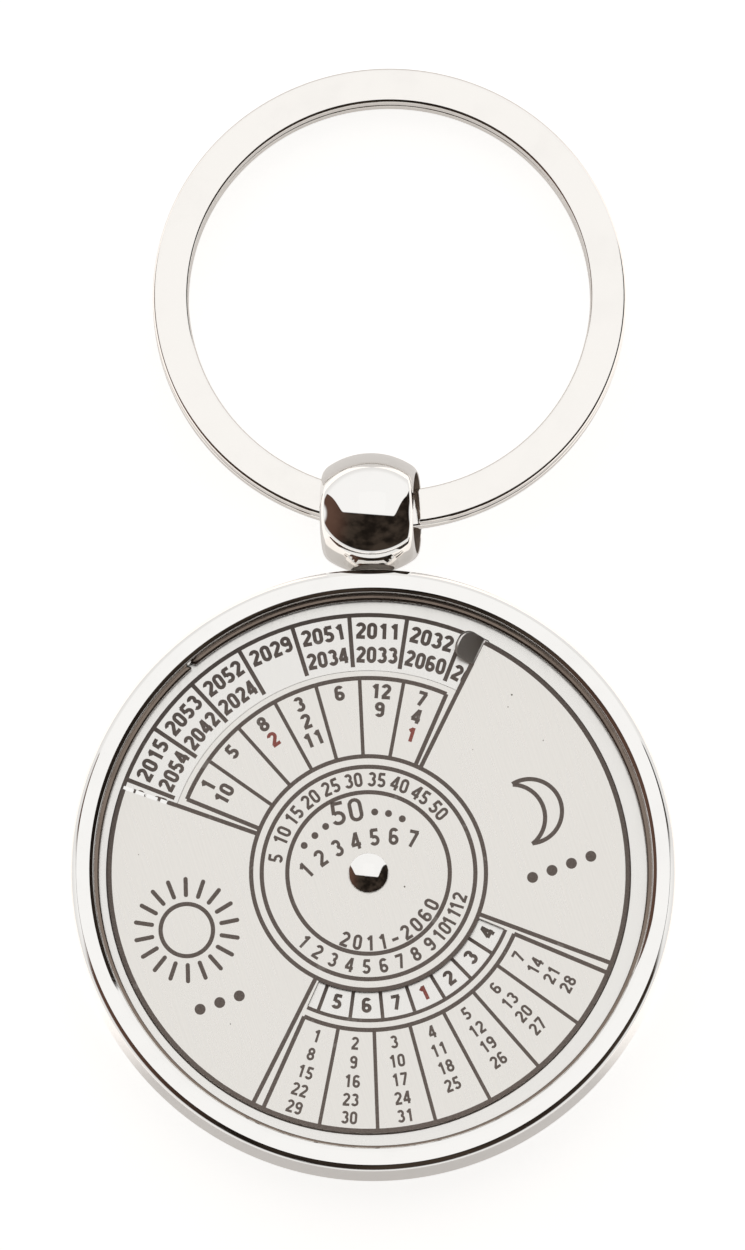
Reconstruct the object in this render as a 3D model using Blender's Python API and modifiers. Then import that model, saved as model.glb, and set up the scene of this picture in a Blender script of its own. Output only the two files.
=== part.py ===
"""Calendar keychain: a round metal case with a turning calendar dial, hung from a flat split ring.

Metres. +Z points out of the dial, +Y to the key ring and +X to the right. The origin is the centre
of the case's flat back, so the case lies on the plane z = 0.
"""

import math

import bmesh
import bpy
from mathutils import Matrix, Vector

# Clearances
STACK_GAP = 0.00015  # between thin pieces that lie on each other
RUN_GAP = 0.00025  # round a piece that turns, and between the bead and its seat
CUT_OVERRUN = 0.0010  # how far a cutter runs past what it cuts

# Heights of the stack, from the back upwards
BACK_PLATE_THICKNESS = 0.0008
SHELF_THICKNESS = 0.00095
YEAR_DISC_THICKNESS = 0.00035
PLATE_THICKNESS = 0.00035
DIAL_DEPTH = 0.0021  # from the rim's face down to the calendar plate

# Case
CASE_RADIUS = 0.0200
CASE_DRAFT = 0.00025  # how much narrower the wall is at the front than at the back
CASE_BACK_ROUND = 0.0004
RIM_BEVEL = 0.00032
RIM_WALL = 0.0015  # from the back edge's circle in to the rim's inner edge
LIP_STEP = 0.0002  # how far the lip reaches in past the rim's inner edge
LIP_LAND = 0.0003
POCKET_WALL = 0.0013  # from the back edge's circle in to the pocket that holds the dial
BACK_PLATE_WALL = 0.0024  # from the back edge's circle in to the back plate
BACK_PLATE_ROUND = 0.00015
SHELF_WIDTH = 0.0010  # how far the shelf reaches in past the back plate's edge

# Dial
YEAR_DISC_PLAY = 0.0005  # room round the year disc in its pocket
DIAL_SHIFT_SHARE = 0.6  # how much of that play the dial has used up, to the left
RETAINER_WIDTH = 0.0005
RETAINER_HEIGHT = 0.0007
RETAINER_ROUND = 0.0001
RETAINER_SPLIT = 0.0003
RETAINER_SPLIT_AT = math.radians(130.8)
RETAINER_SPLIT_SLANT = math.radians(28)
YEAR_DISC_MARGIN = 0.00115  # how far the year disc shows round the calendar plate
YEAR_WINDOW_DEPTH = 0.00375
YEAR_WINDOW_FROM = math.radians(63.4)
YEAR_WINDOW_TO = math.radians(161.0)
DAY_WINDOW_INNER = 0.0077
DAY_WINDOW_DEPTH = 0.00185
DAY_WINDOW_FROM = math.radians(245.6)
DAY_WINDOW_TO = math.radians(337.4)
TAB_WIDTH = 0.00155
TAB_LENGTH = 0.00125  # beyond its bend
TAB_BEND_RADIUS = 0.0003
TAB_BEND = math.radians(52)
TAB_END_ROUND_SHARE = 0.46  # of the tab's width
TAB_ROOT = 0.0006  # how far the tab's root runs into the plate

# Centre rivet and its washers
RIVET_HEAD_OVERHANG = 0.0007
RIVET_HEAD_WALL = 0.00025
RIVET_CROWN = 0.00025  # how much higher the head is in the middle than at its wall
RIVET_SHANK_RADIUS = 0.0006
RIVET_TAIL_OVERHANG = 0.0007
RIVET_TAIL_THICKNESS = 0.00025
SPRING_OVERHANG = 0.0015
SPRING_THICKNESS = 0.00012
SPRING_WAVE = 0.00007
SPRING_WAVES = 3
WASHER_OVERHANG = 0.0012
WASHER_THICKNESS = 0.00022

# Swivel: pin and bead
PIN_HEIGHT_SHARE = 0.5  # of the case's height
PIN_RADIUS = 0.00075
PIN_INNER_HEAD_OVERHANG = 0.00045
PIN_INNER_HEAD_THICKNESS = 0.00025
PIN_OUTER_HEAD_OVERHANG = 0.00045
PIN_OUTER_HEAD_THICKNESS = 0.00045
PIN_DOME_SHARE = 0.5  # of the outer head that its rounded edge takes up
SEAT_DEPTH = 0.0005  # of the flat on the case's wall that the bead faces
SEAT_OVERHANG = 0.00135
BORE_CLEARANCE = 0.00099  # round the ring's wire
BORE_EDGE_ROUND = 0.0002
BEAD_LENGTH = 0.0059
BEAD_END_WALL = 0.0004
BEAD_EDGE_ROUND = 0.00035
BEAD_CROWN = 0.00105  # how much fatter the bead is in the middle than at its ends
COUNTERBORE_DEPTH = 0.00035
BEAD_YAW = math.radians(5)

# Split ring: one flat wire wound twice
RING_RADIUS = 0.0155
WIRE_WIDTH = 0.00235
WIRE_THICKNESS = 0.0009
COIL_GAP = 0.0001
RING_OFFSET = 0.00105  # how far the ring hangs to the right
RING_LIFT = 0.00018  # of the wire's middle above the bore's axis
RING_DROOP = math.radians(7.65)  # the case lies on its lower edge and the bead, and the ring on its far side
CROSSING_FROM = math.radians(257)
CROSSING_TURN = math.radians(18)
END_CLEARANCE = math.radians(2)
WIRE_END_ROUND = 0.0007

# Fineness
CASE_STEPS = 96
DISC_STEPS = 96
BEAD_STEPS = 48
SMALL_STEPS = 32
SPRING_STEPS = 64
ROUND_STEPS = 3
EDGE_STEPS = 2
DOME_STEPS = 6
CROWN_STEPS = 10
ARC_STEP = math.radians(4)
COIL_STEP = math.radians(7.5)
CROSSING_STEPS = 8
TAB_BEND_STEPS = 5
TAB_END_STEPS = 6
WELD = 0.000001
SHARP_ANGLE = math.radians(32)

# Levels and places that follow from the sizes above
SHELF_BOTTOM = BACK_PLATE_THICKNESS + STACK_GAP
SHELF_TOP = SHELF_BOTTOM + SHELF_THICKNESS
YEAR_DISC_BOTTOM = SHELF_TOP + STACK_GAP
YEAR_DISC_TOP = YEAR_DISC_BOTTOM + YEAR_DISC_THICKNESS
PLATE_BOTTOM = YEAR_DISC_TOP + STACK_GAP
PLATE_TOP = PLATE_BOTTOM + PLATE_THICKNESS
CASE_HEIGHT = PLATE_TOP + DIAL_DEPTH
RETAINER_BOTTOM = YEAR_DISC_TOP + STACK_GAP
RETAINER_TOP = RETAINER_BOTTOM + RETAINER_HEIGHT
LIP_BOTTOM = RETAINER_TOP + STACK_GAP
RIM_INNER_RADIUS = CASE_RADIUS - RIM_WALL
LIP_RADIUS = RIM_INNER_RADIUS - LIP_STEP
POCKET_RADIUS = CASE_RADIUS - POCKET_WALL
BACK_PLATE_RADIUS = CASE_RADIUS - BACK_PLATE_WALL
YEAR_DISC_RADIUS = POCKET_RADIUS - YEAR_DISC_PLAY
RETAINER_RADIUS = POCKET_RADIUS - STACK_GAP
PLATE_RADIUS = YEAR_DISC_RADIUS - YEAR_DISC_MARGIN
YEAR_WINDOW_RADIUS = PLATE_RADIUS - YEAR_WINDOW_DEPTH
DAY_WINDOW_OUTER = DAY_WINDOW_INNER + DAY_WINDOW_DEPTH
RIVET_HEAD_RADIUS = RIVET_SHANK_RADIUS + RIVET_HEAD_OVERHANG
RIVET_TAIL_RADIUS = RIVET_SHANK_RADIUS + RIVET_TAIL_OVERHANG
SPRING_RADIUS = RIVET_SHANK_RADIUS + SPRING_OVERHANG
WASHER_RADIUS = RIVET_SHANK_RADIUS + WASHER_OVERHANG
DIAL_X = -YEAR_DISC_PLAY * DIAL_SHIFT_SHARE
RIVET_HOLE_RADIUS = RIVET_SHANK_RADIUS + STACK_GAP
PIN_HEIGHT = CASE_HEIGHT * PIN_HEIGHT_SHARE
PIN_HOLE_RADIUS = PIN_RADIUS + STACK_GAP
PIN_INNER_HEAD_RADIUS = PIN_RADIUS + PIN_INNER_HEAD_OVERHANG
PIN_OUTER_HEAD_RADIUS = PIN_RADIUS + PIN_OUTER_HEAD_OVERHANG
SEAT_RADIUS = PIN_RADIUS + SEAT_OVERHANG
SEAT_Y = CASE_RADIUS - SEAT_DEPTH
COIL_PITCH = WIRE_THICKNESS + COIL_GAP
BORE_RADIUS = math.hypot(WIRE_WIDTH, WIRE_THICKNESS + COIL_PITCH) / 2 + BORE_CLEARANCE
BEAD_END_RADIUS = BORE_RADIUS + BEAD_END_WALL
BEAD_RADIUS = BEAD_END_RADIUS + BEAD_CROWN
BEAD_Y = SEAT_Y + RUN_GAP + BEAD_RADIUS
COUNTERBORE_Y = BEAD_Y - BORE_RADIUS - COUNTERBORE_DEPTH
PIN_OUTER_HEAD_Y = COUNTERBORE_Y + STACK_GAP
PIN_RECESS_Y = POCKET_RADIUS + PIN_INNER_HEAD_THICKNESS + STACK_GAP
WIRE_MIDDLE_RADIUS = RING_RADIUS - WIRE_WIDTH / 2

FULL_TURN = 2 * math.pi
QUARTER_TURN = math.pi / 2


def clear_scene():
    """Removes every object of the startup scene."""
    for obj in list(bpy.data.objects):
        bpy.data.objects.remove(obj, do_unlink=True)


def new_collection(name):
    collection = bpy.data.collections.new(name)
    bpy.context.scene.collection.children.link(collection)
    return collection


def metal(name, color, roughness):
    """A plain metallic material."""
    material = bpy.data.materials.new(name)
    material.use_nodes = True
    shader = material.node_tree.nodes["Principled BSDF"]
    shader.inputs["Base Color"].default_value = (*color, 1)
    shader.inputs["Roughness"].default_value = roughness
    shader.inputs["Metallic"].default_value = 1
    return material


def rounded(corners, steps=ROUND_STEPS):
    """The outline through corners (x, y, radius), where each corner that has a radius becomes an arc."""
    points = []
    for before, corner, after in zip(corners[-1:] + corners[:-1], corners, corners[1:] + corners[:1]):
        here = Vector(corner[:2])
        if corner[2] == 0:
            points.append(here)
            continue
        back = (Vector(before[:2]) - here).normalized()
        ahead = (Vector(after[:2]) - here).normalized()
        half = back.angle(ahead) / 2
        centre = here + (back + ahead).normalized() * corner[2] / math.sin(half)
        reach = corner[2] / math.tan(half)
        start = here + back * reach - centre
        end = here + ahead * reach - centre
        turn = math.atan2(start.cross(end), start.dot(end))
        for step in range(steps + 1):
            points.append(centre + Matrix.Rotation(turn * step / steps, 2) @ start)
    return points


def arc(radius, start, end, steps):
    """Points along an arc round the origin."""
    turns = [start + (end - start) * step / steps for step in range(steps + 1)]
    return [Vector((radius * math.cos(turn), radius * math.sin(turn))) for turn in turns]


def add_object(name, data, collection, material=None):
    obj = bpy.data.objects.new(name, data)
    collection.objects.link(obj)
    if material:
        data.materials.append(material)
    return obj


def turned(name, points, steps, collection, material=None, closed=True):
    """A profile of (radius, height) points, outer side downwards, turned round the Z axis."""
    mesh = bpy.data.meshes.new(name)
    edges = [(index, index + 1) for index in range(len(points) - 1)]
    if closed:
        edges.append((len(points) - 1, 0))
    mesh.from_pydata([(point[0], 0, point[1]) for point in points], edges, [])
    obj = add_object(name, mesh, collection, material)
    screw = obj.modifiers.new("Turn", "SCREW")
    screw.axis = "Z"
    screw.steps = steps
    screw.render_steps = steps
    screw.use_merge_vertices = True
    screw.merge_threshold = WELD
    return obj


def ring_profile(inner, outer, bottom, top):
    """The four corners of a flat ring's section, outer side downwards."""
    return [Vector((outer, top)), Vector((outer, bottom)), Vector((inner, bottom)), Vector((inner, top))]


def cutter(name, radius, start, end, height, collection):
    """A cylinder along Y from start to end, at x = 0 and the height given."""
    bpy.ops.mesh.primitive_cylinder_add(
        vertices=SMALL_STEPS,
        radius=radius,
        depth=end - start,
        location=(0, (start + end) / 2, height),
        rotation=(QUARTER_TURN, 0, 0),
    )
    obj = bpy.context.active_object
    obj.name = name
    return as_helper(obj, collection)


def as_helper(obj, collection):
    """Moves a cutter or a joined shape to its own collection and keeps it out of the render."""
    for owner in list(obj.users_collection):
        owner.objects.unlink(obj)
    collection.objects.link(obj)
    obj.hide_render = True
    obj.display_type = "WIRE"
    return obj


def combine(obj, other, operation="DIFFERENCE"):
    boolean = obj.modifiers.new(other.name, "BOOLEAN")
    boolean.operation = operation
    boolean.object = other


def settle(obj):
    """Makes the evaluated shape the object's own mesh, shaded smooth up to its sharp edges."""
    bpy.context.view_layer.update()
    graph = bpy.context.evaluated_depsgraph_get()
    mesh = bpy.data.meshes.new_from_object(obj.evaluated_get(graph))
    obj.modifiers.clear()
    obj.data = mesh
    mesh.name = obj.name
    mesh.shade_smooth()
    mesh.set_sharp_from_angle(angle=SHARP_ANGLE)
    return obj


def make_case_ring(parts, cutters, material):
    """The cast case: outer wall, rim, undercut pocket for the dial, shelf and rebate for the back."""
    front_radius = CASE_RADIUS - CASE_DRAFT
    rebate_radius = BACK_PLATE_RADIUS + STACK_GAP
    corners = [
        (front_radius - RIM_BEVEL, CASE_HEIGHT, 0),
        (front_radius, CASE_HEIGHT - RIM_BEVEL, 0),
        (CASE_RADIUS, 0, CASE_BACK_ROUND),
        (rebate_radius, 0, 0),
        (rebate_radius, SHELF_BOTTOM, 0),
        (BACK_PLATE_RADIUS - SHELF_WIDTH, SHELF_BOTTOM, 0),
        (BACK_PLATE_RADIUS - SHELF_WIDTH, SHELF_TOP, 0),
        (POCKET_RADIUS, SHELF_TOP, 0),
        (POCKET_RADIUS, LIP_BOTTOM, 0),
        (LIP_RADIUS, LIP_BOTTOM, 0),
        (LIP_RADIUS, LIP_BOTTOM + LIP_LAND, 0),
        (RIM_INNER_RADIUS, CASE_HEIGHT, 0),
    ]
    case = turned("case_ring", rounded(corners), CASE_STEPS, parts, material)
    seat = cutter("bead_seat", SEAT_RADIUS, SEAT_Y, CASE_RADIUS + CUT_OVERRUN, PIN_HEIGHT, cutters)
    recess_radius = PIN_INNER_HEAD_RADIUS + STACK_GAP
    recess = cutter("pin_recess", recess_radius, RETAINER_RADIUS, PIN_RECESS_Y, PIN_HEIGHT, cutters)
    hole = cutter("pin_hole", PIN_HOLE_RADIUS, RETAINER_RADIUS, CASE_RADIUS, PIN_HEIGHT, cutters)
    for shape in (seat, recess, hole):
        combine(case, shape)
    return settle(case)


def make_back_plate(parts, material):
    """The disc pressed into the back of the case, flush with it."""
    profile = [
        (0, BACK_PLATE_THICKNESS, 0),
        (BACK_PLATE_RADIUS, BACK_PLATE_THICKNESS, 0),
        (BACK_PLATE_RADIUS, 0, BACK_PLATE_ROUND),
        (0, 0, 0),
    ]
    plate = turned("back_plate", rounded(profile), DISC_STEPS, parts, material, closed=False)
    return settle(plate)


def make_year_disc(parts, material):
    """The fixed disc under the calendar plate, which carries the years and the weekdays."""
    profile = ring_profile(RIVET_HOLE_RADIUS, YEAR_DISC_RADIUS, YEAR_DISC_BOTTOM, YEAR_DISC_TOP)
    disc = turned("year_disc", profile, DISC_STEPS, parts, material)
    disc.location.x = DIAL_X
    return settle(disc)


def make_retaining_ring(parts, cutters, material):
    """The split snap ring under the case's lip, over the year disc's edge."""
    inner = RETAINER_RADIUS - RETAINER_WIDTH
    profile = [
        (RETAINER_RADIUS, RETAINER_TOP, RETAINER_ROUND),
        (RETAINER_RADIUS, RETAINER_BOTTOM, 0),
        (inner, RETAINER_BOTTOM, 0),
        (inner, RETAINER_TOP, RETAINER_ROUND),
    ]
    ring = turned("retaining_ring", rounded(profile, EDGE_STEPS), DISC_STEPS, parts, material)
    bpy.ops.mesh.primitive_cube_add(size=1)
    split = bpy.context.active_object
    split.name = "retainer_split"
    length = RETAINER_WIDTH + 2 * CUT_OVERRUN
    size = Matrix.Diagonal((length, RETAINER_SPLIT, RETAINER_HEIGHT + 2 * CUT_OVERRUN, 1))
    place = Matrix.Translation((RETAINER_RADIUS - RETAINER_WIDTH / 2, 0, (RETAINER_BOTTOM + RETAINER_TOP) / 2))
    slant = Matrix.Rotation(RETAINER_SPLIT_SLANT, 4, "Z")
    split.data.transform(Matrix.Rotation(RETAINER_SPLIT_AT, 4, "Z") @ place @ slant @ size)
    combine(ring, as_helper(split, cutters))
    return settle(ring)


def flat_shape(name, outlines, thickness, collection):
    """A plate between closed outlines, the first of them round the others, centred on z = 0."""
    curve = bpy.data.curves.new(name, "CURVE")
    curve.dimensions = "2D"
    curve.fill_mode = "BOTH"
    curve.extrude = thickness / 2
    for outline in outlines:
        spline = curve.splines.new("POLY")
        spline.points.add(len(outline) - 1)
        for point, place in zip(spline.points, outline):
            point.co = (place.x, place.y, 0, 1)
        spline.use_cyclic_u = True
    guide = bpy.data.objects.new(name + "_outline", curve)
    collection.objects.link(guide)
    bpy.context.view_layer.update()
    graph = bpy.context.evaluated_depsgraph_get()
    mesh = bpy.data.meshes.new_from_object(guide.evaluated_get(graph))
    bpy.data.objects.remove(guide, do_unlink=True)
    soften = bmesh.new()
    soften.from_mesh(mesh)
    bmesh.ops.remove_doubles(soften, verts=soften.verts, dist=WELD)
    bmesh.ops.recalc_face_normals(soften, faces=soften.faces)
    soften.to_mesh(mesh)
    soften.free()
    return mesh


def steps_for(turn):
    return max(2, round(abs(turn) / ARC_STEP))


def make_finger_tab(cutters):
    """The tongue at the year window's outer corner, bent up out of the plate for a fingertip."""
    bm = bmesh.new()
    half = TAB_WIDTH / 2
    corners = [
        (0, -half, PLATE_TOP),
        (0, half, PLATE_TOP),
        (0, half, PLATE_BOTTOM),
        (0, -half, PLATE_BOTTOM),
    ]
    face = bm.faces.new([bm.verts.new(corner) for corner in corners])
    root = bmesh.ops.extrude_face_region(bm, geom=[face])
    moved = [item for item in root["geom"] if isinstance(item, bmesh.types.BMVert)]
    bmesh.ops.translate(bm, verts=moved, vec=(-TAB_ROOT, 0, 0))
    bend = bmesh.ops.spin(
        bm,
        geom=[face],
        cent=(0, 0, PLATE_TOP + TAB_BEND_RADIUS),
        axis=(0, -1, 0),
        angle=TAB_BEND,
        steps=TAB_BEND_STEPS,
    )
    end = [item for item in bend["geom_last"] if isinstance(item, bmesh.types.BMFace)]
    tip = bmesh.ops.extrude_face_region(bm, geom=end)
    verts = [item for item in tip["geom"] if isinstance(item, bmesh.types.BMVert)]
    along = Vector((math.cos(TAB_BEND), 0, math.sin(TAB_BEND)))
    bmesh.ops.translate(bm, verts=verts, vec=along * TAB_LENGTH)
    bm.faces.ensure_lookup_table()
    inside = [f for f in bm.faces if all(len(edge.link_faces) > 2 for edge in f.edges)]
    bmesh.ops.delete(bm, geom=inside, context="FACES_ONLY")
    corners_at_tip = [
        edge
        for edge in bm.edges
        if all(vert in verts for vert in edge.verts) and abs(edge.verts[0].co.y - edge.verts[1].co.y) < WELD
    ]
    bmesh.ops.bevel(
        bm,
        geom=corners_at_tip,
        offset=TAB_WIDTH * TAB_END_ROUND_SHARE,
        segments=TAB_END_STEPS,
        profile=0.5,
        affect="EDGES",
        material=-1,
    )
    bmesh.ops.recalc_face_normals(bm, faces=bm.faces)
    # The tongue is made leaning to +X, and then turned to lean over the window.
    reach = PLATE_RADIUS - half - STACK_GAP
    place = Matrix.Rotation(YEAR_WINDOW_FROM, 4, "Z") @ Matrix.Translation((reach, 0, 0))
    bmesh.ops.transform(bm, matrix=place @ Matrix.Rotation(QUARTER_TURN, 4, "Z"), verts=bm.verts)
    mesh = bpy.data.meshes.new("finger_tab")
    bm.to_mesh(mesh)
    bm.free()
    tab = bpy.data.objects.new("finger_tab", mesh)
    cutters.objects.link(tab)
    return as_helper(tab, cutters)


def make_calendar_plate(parts, cutters, material):
    """The front plate, which turns on the rivet: open year window, weekday window and finger tab."""
    rim_turn = FULL_TURN + YEAR_WINDOW_FROM - YEAR_WINDOW_TO
    outline = arc(PLATE_RADIUS, YEAR_WINDOW_TO, YEAR_WINDOW_TO + rim_turn, steps_for(rim_turn))
    window_turn = YEAR_WINDOW_TO - YEAR_WINDOW_FROM
    outline += arc(YEAR_WINDOW_RADIUS, YEAR_WINDOW_FROM, YEAR_WINDOW_TO, steps_for(window_turn))
    day_steps = steps_for(DAY_WINDOW_TO - DAY_WINDOW_FROM)
    days = arc(DAY_WINDOW_OUTER, DAY_WINDOW_FROM, DAY_WINDOW_TO, day_steps)
    days += arc(DAY_WINDOW_INNER, DAY_WINDOW_TO, DAY_WINDOW_FROM, day_steps)
    hole = arc(RIVET_HOLE_RADIUS, 0, FULL_TURN, SMALL_STEPS)[:-1]
    mesh = flat_shape("calendar_plate", [outline, days, hole], PLATE_THICKNESS, cutters)
    mesh.transform(Matrix.Translation((0, 0, (PLATE_BOTTOM + PLATE_TOP) / 2)))
    plate = add_object("calendar_plate", mesh, parts, material)
    combine(plate, make_finger_tab(cutters), "UNION")
    settle(plate)
    plate.location.x = DIAL_X
    return plate


def make_rivet(parts, material):
    """The centre rivet: low crowned head, shank through the dial, and tail spread under the washer."""
    head_bottom = PLATE_TOP + STACK_GAP
    dome_radius = (RIVET_HEAD_RADIUS**2 + RIVET_CROWN**2) / (2 * RIVET_CROWN)
    dome_centre = head_bottom + RIVET_HEAD_WALL + RIVET_CROWN - dome_radius
    open_turn = math.asin(min(1, RIVET_HEAD_RADIUS / dome_radius))
    points = [
        Vector((dome_radius * math.sin(turn), dome_centre + dome_radius * math.cos(turn)))
        for turn in (open_turn * step / DOME_STEPS for step in range(DOME_STEPS + 1))
    ]
    tail_top = rivet_tail_top()
    tail_bottom = tail_top - RIVET_TAIL_THICKNESS
    points += [
        Vector((RIVET_HEAD_RADIUS, head_bottom)),
        Vector((RIVET_SHANK_RADIUS, head_bottom)),
        Vector((RIVET_SHANK_RADIUS, tail_top)),
        Vector((RIVET_TAIL_RADIUS, tail_top)),
        Vector((RIVET_TAIL_RADIUS, tail_bottom)),
        Vector((0, tail_bottom)),
    ]
    rivet = turned("centre_rivet", points, SMALL_STEPS, parts, material, closed=False)
    rivet.location.x = DIAL_X
    return settle(rivet)


def spring_middle():
    """Height of the wave washer's middle surface, just under the year disc."""
    return YEAR_DISC_BOTTOM - STACK_GAP - SPRING_WAVE - SPRING_THICKNESS / 2


def washer_top():
    return spring_middle() - SPRING_WAVE - SPRING_THICKNESS / 2 - STACK_GAP


def rivet_tail_top():
    return washer_top() - WASHER_THICKNESS - STACK_GAP


def make_spring_washer(parts, material):
    """The wave washer that presses the year disc and the plate together."""
    middle = spring_middle()
    half = SPRING_THICKNESS / 2
    profile = ring_profile(RIVET_HOLE_RADIUS, SPRING_RADIUS, middle - half, middle + half)
    washer = turned("spring_washer", profile, SPRING_STEPS, parts, material)
    settle(washer)
    for vert in washer.data.vertices:
        vert.co.z += SPRING_WAVE * math.cos(SPRING_WAVES * math.atan2(vert.co.y, vert.co.x))
    washer.location.x = DIAL_X
    return washer


def make_rivet_washer(parts, material):
    """The plain washer that the rivet's tail is spread against."""
    top = washer_top()
    profile = ring_profile(RIVET_HOLE_RADIUS, WASHER_RADIUS, top - WASHER_THICKNESS, top)
    washer = turned("rivet_washer", profile, SMALL_STEPS, parts, material)
    washer.location.x = DIAL_X
    return settle(washer)


def make_swivel_pin(parts, material):
    """The pin that the bead turns on: flat head in the case's wall, domed head in the bead's bore."""
    inner_end = POCKET_RADIUS
    outer_end = PIN_OUTER_HEAD_Y + PIN_OUTER_HEAD_THICKNESS
    dome = PIN_OUTER_HEAD_THICKNESS * PIN_DOME_SHARE
    profile = [
        (0, outer_end, 0),
        (PIN_OUTER_HEAD_RADIUS, outer_end, dome),
        (PIN_OUTER_HEAD_RADIUS, PIN_OUTER_HEAD_Y, 0),
        (PIN_RADIUS, PIN_OUTER_HEAD_Y, 0),
        (PIN_RADIUS, inner_end + PIN_INNER_HEAD_THICKNESS, 0),
        (PIN_INNER_HEAD_RADIUS, inner_end + PIN_INNER_HEAD_THICKNESS, 0),
        (PIN_INNER_HEAD_RADIUS, inner_end, 0),
        (0, inner_end, 0),
    ]
    pin = turned("swivel_pin", rounded(profile), SMALL_STEPS, parts, material, closed=False)
    settle(pin)
    pin.data.transform(Matrix.Rotation(-QUARTER_TURN, 4, "X"))
    pin.location.z = PIN_HEIGHT
    return pin


def make_bead(parts, cutters, material):
    """The barrel bead that the key ring runs through, turned round its bore and set across the pin."""
    half = BEAD_LENGTH / 2
    crown_radius = (half**2 + BEAD_CROWN**2) / (2 * BEAD_CROWN)
    crown_centre = BEAD_RADIUS - crown_radius
    half_turn = math.asin(half / crown_radius)
    crown = []
    for step in range(1, CROWN_STEPS):
        turn = half_turn * (1 - 2 * step / CROWN_STEPS)
        place = (crown_centre + crown_radius * math.cos(turn), crown_radius * math.sin(turn), 0)
        crown.append(place)
    corners = [
        (BORE_RADIUS, half, BORE_EDGE_ROUND),
        (BEAD_END_RADIUS, half, BEAD_EDGE_ROUND),
        *crown,
        (BEAD_END_RADIUS, -half, BEAD_EDGE_ROUND),
        (BORE_RADIUS, -half, BORE_EDGE_ROUND),
    ]
    bead = turned("bead", rounded(corners), BEAD_STEPS, parts, material)
    bead.location = (0, BEAD_Y, PIN_HEIGHT)
    bead.rotation_euler = (0, QUARTER_TURN - BEAD_YAW, 0)
    hole = cutter("bead_hole", PIN_HOLE_RADIUS, SEAT_Y, BEAD_Y, PIN_HEIGHT, cutters)
    head_room = PIN_OUTER_HEAD_RADIUS + STACK_GAP
    counterbore = cutter("bead_counterbore", head_room, COUNTERBORE_Y, BEAD_Y, PIN_HEIGHT, cutters)
    for shape in (hole, counterbore):
        combine(bead, shape)
    return settle(bead)


def last_of(result, kind):
    return [item for item in result["geom_last"] if isinstance(item, kind)]


def make_split_ring(parts, material):
    """The key ring: a flat wire wound twice, which steps from the front coil to the back in the bead."""
    bm = bmesh.new()
    half = WIRE_WIDTH / 2
    front = COIL_GAP / 2
    corners = [
        (WIRE_MIDDLE_RADIUS - half, 0, front),
        (WIRE_MIDDLE_RADIUS + half, 0, front),
        (WIRE_MIDDLE_RADIUS + half, 0, front + WIRE_THICKNESS),
        (WIRE_MIDDLE_RADIUS - half, 0, front + WIRE_THICKNESS),
    ]
    start_cap = bm.faces.new([bm.verts.new(corner) for corner in corners])
    start = CROSSING_FROM + CROSSING_TURN + END_CLEARANCE
    bmesh.ops.rotate(bm, cent=(0, 0, 0), matrix=Matrix.Rotation(start, 3, "Z"), verts=bm.verts)
    coil_turn = FULL_TURN - CROSSING_TURN - END_CLEARANCE
    coil_steps = round(coil_turn / COIL_STEP)
    runs = [(coil_turn, coil_steps, 0)]
    done = 0
    for step in range(1, CROSSING_STEPS + 1):
        # The step down starts and ends gently.
        share = step / CROSSING_STEPS
        level = share * share * (3 - 2 * share)
        runs.append((CROSSING_TURN / CROSSING_STEPS, 1, (done - level) * COIL_PITCH))
        done = level
    runs.append((coil_turn, coil_steps, 0))
    edge_loop = list(start_cap.edges)
    for turn, steps, drop in runs:
        result = bmesh.ops.spin(
            bm, geom=edge_loop, cent=(0, 0, 0), axis=(0, 0, 1), dvec=(0, 0, drop), angle=turn, steps=steps
        )
        edge_loop = last_of(result, bmesh.types.BMEdge)
    end_cap = bmesh.ops.contextual_create(bm, geom=edge_loop)["faces"]
    ends = [
        edge
        for cap in (start_cap, *end_cap)
        for edge in cap.edges
        if abs(edge.verts[0].co.z - edge.verts[1].co.z) > WELD
    ]
    bmesh.ops.bevel(
        bm,
        geom=ends,
        offset=WIRE_END_ROUND,
        segments=ROUND_STEPS,
        profile=0.5,
        affect="EDGES",
        material=-1,
    )
    bmesh.ops.recalc_face_normals(bm, faces=bm.faces)
    bmesh.ops.translate(bm, verts=bm.verts, vec=(RING_OFFSET, WIRE_MIDDLE_RADIUS + RING_LIFT, 0))
    mesh = bpy.data.meshes.new("split_ring")
    bm.to_mesh(mesh)
    bm.free()
    ring = add_object("split_ring", mesh, parts, material)
    mesh.shade_smooth()
    mesh.set_sharp_from_angle(angle=SHARP_ANGLE)
    ring.location = (0, BEAD_Y, PIN_HEIGHT)
    ring.rotation_euler = (-RING_DROOP, 0, 0)
    return ring


def main():
    clear_scene()
    parts = new_collection("calendar_keychain")
    cutters = new_collection("cutters")
    chrome = metal("polished_chrome", (0.86, 0.85, 0.83), 0.06)
    brushed = metal("brushed_steel", (0.74, 0.73, 0.71), 0.32)
    nickel = metal("nickel_plate", (0.88, 0.86, 0.83), 0.14)
    spring = metal("spring_steel", (0.46, 0.46, 0.47), 0.30)
    make_case_ring(parts, cutters, chrome)
    make_back_plate(parts, brushed)
    make_year_disc(parts, brushed)
    make_retaining_ring(parts, cutters, spring)
    make_calendar_plate(parts, cutters, brushed)
    make_rivet(parts, chrome)
    make_spring_washer(parts, spring)
    make_rivet_washer(parts, spring)
    make_swivel_pin(parts, nickel)
    make_bead(parts, cutters, chrome)
    make_split_ring(parts, nickel)


main()
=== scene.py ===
"""Looks of the calendar keychain: polished case, brushed dial with etched numbers, bead and key ring."""

import math

import bmesh
import bpy
from mathutils import Matrix, Vector


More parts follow.
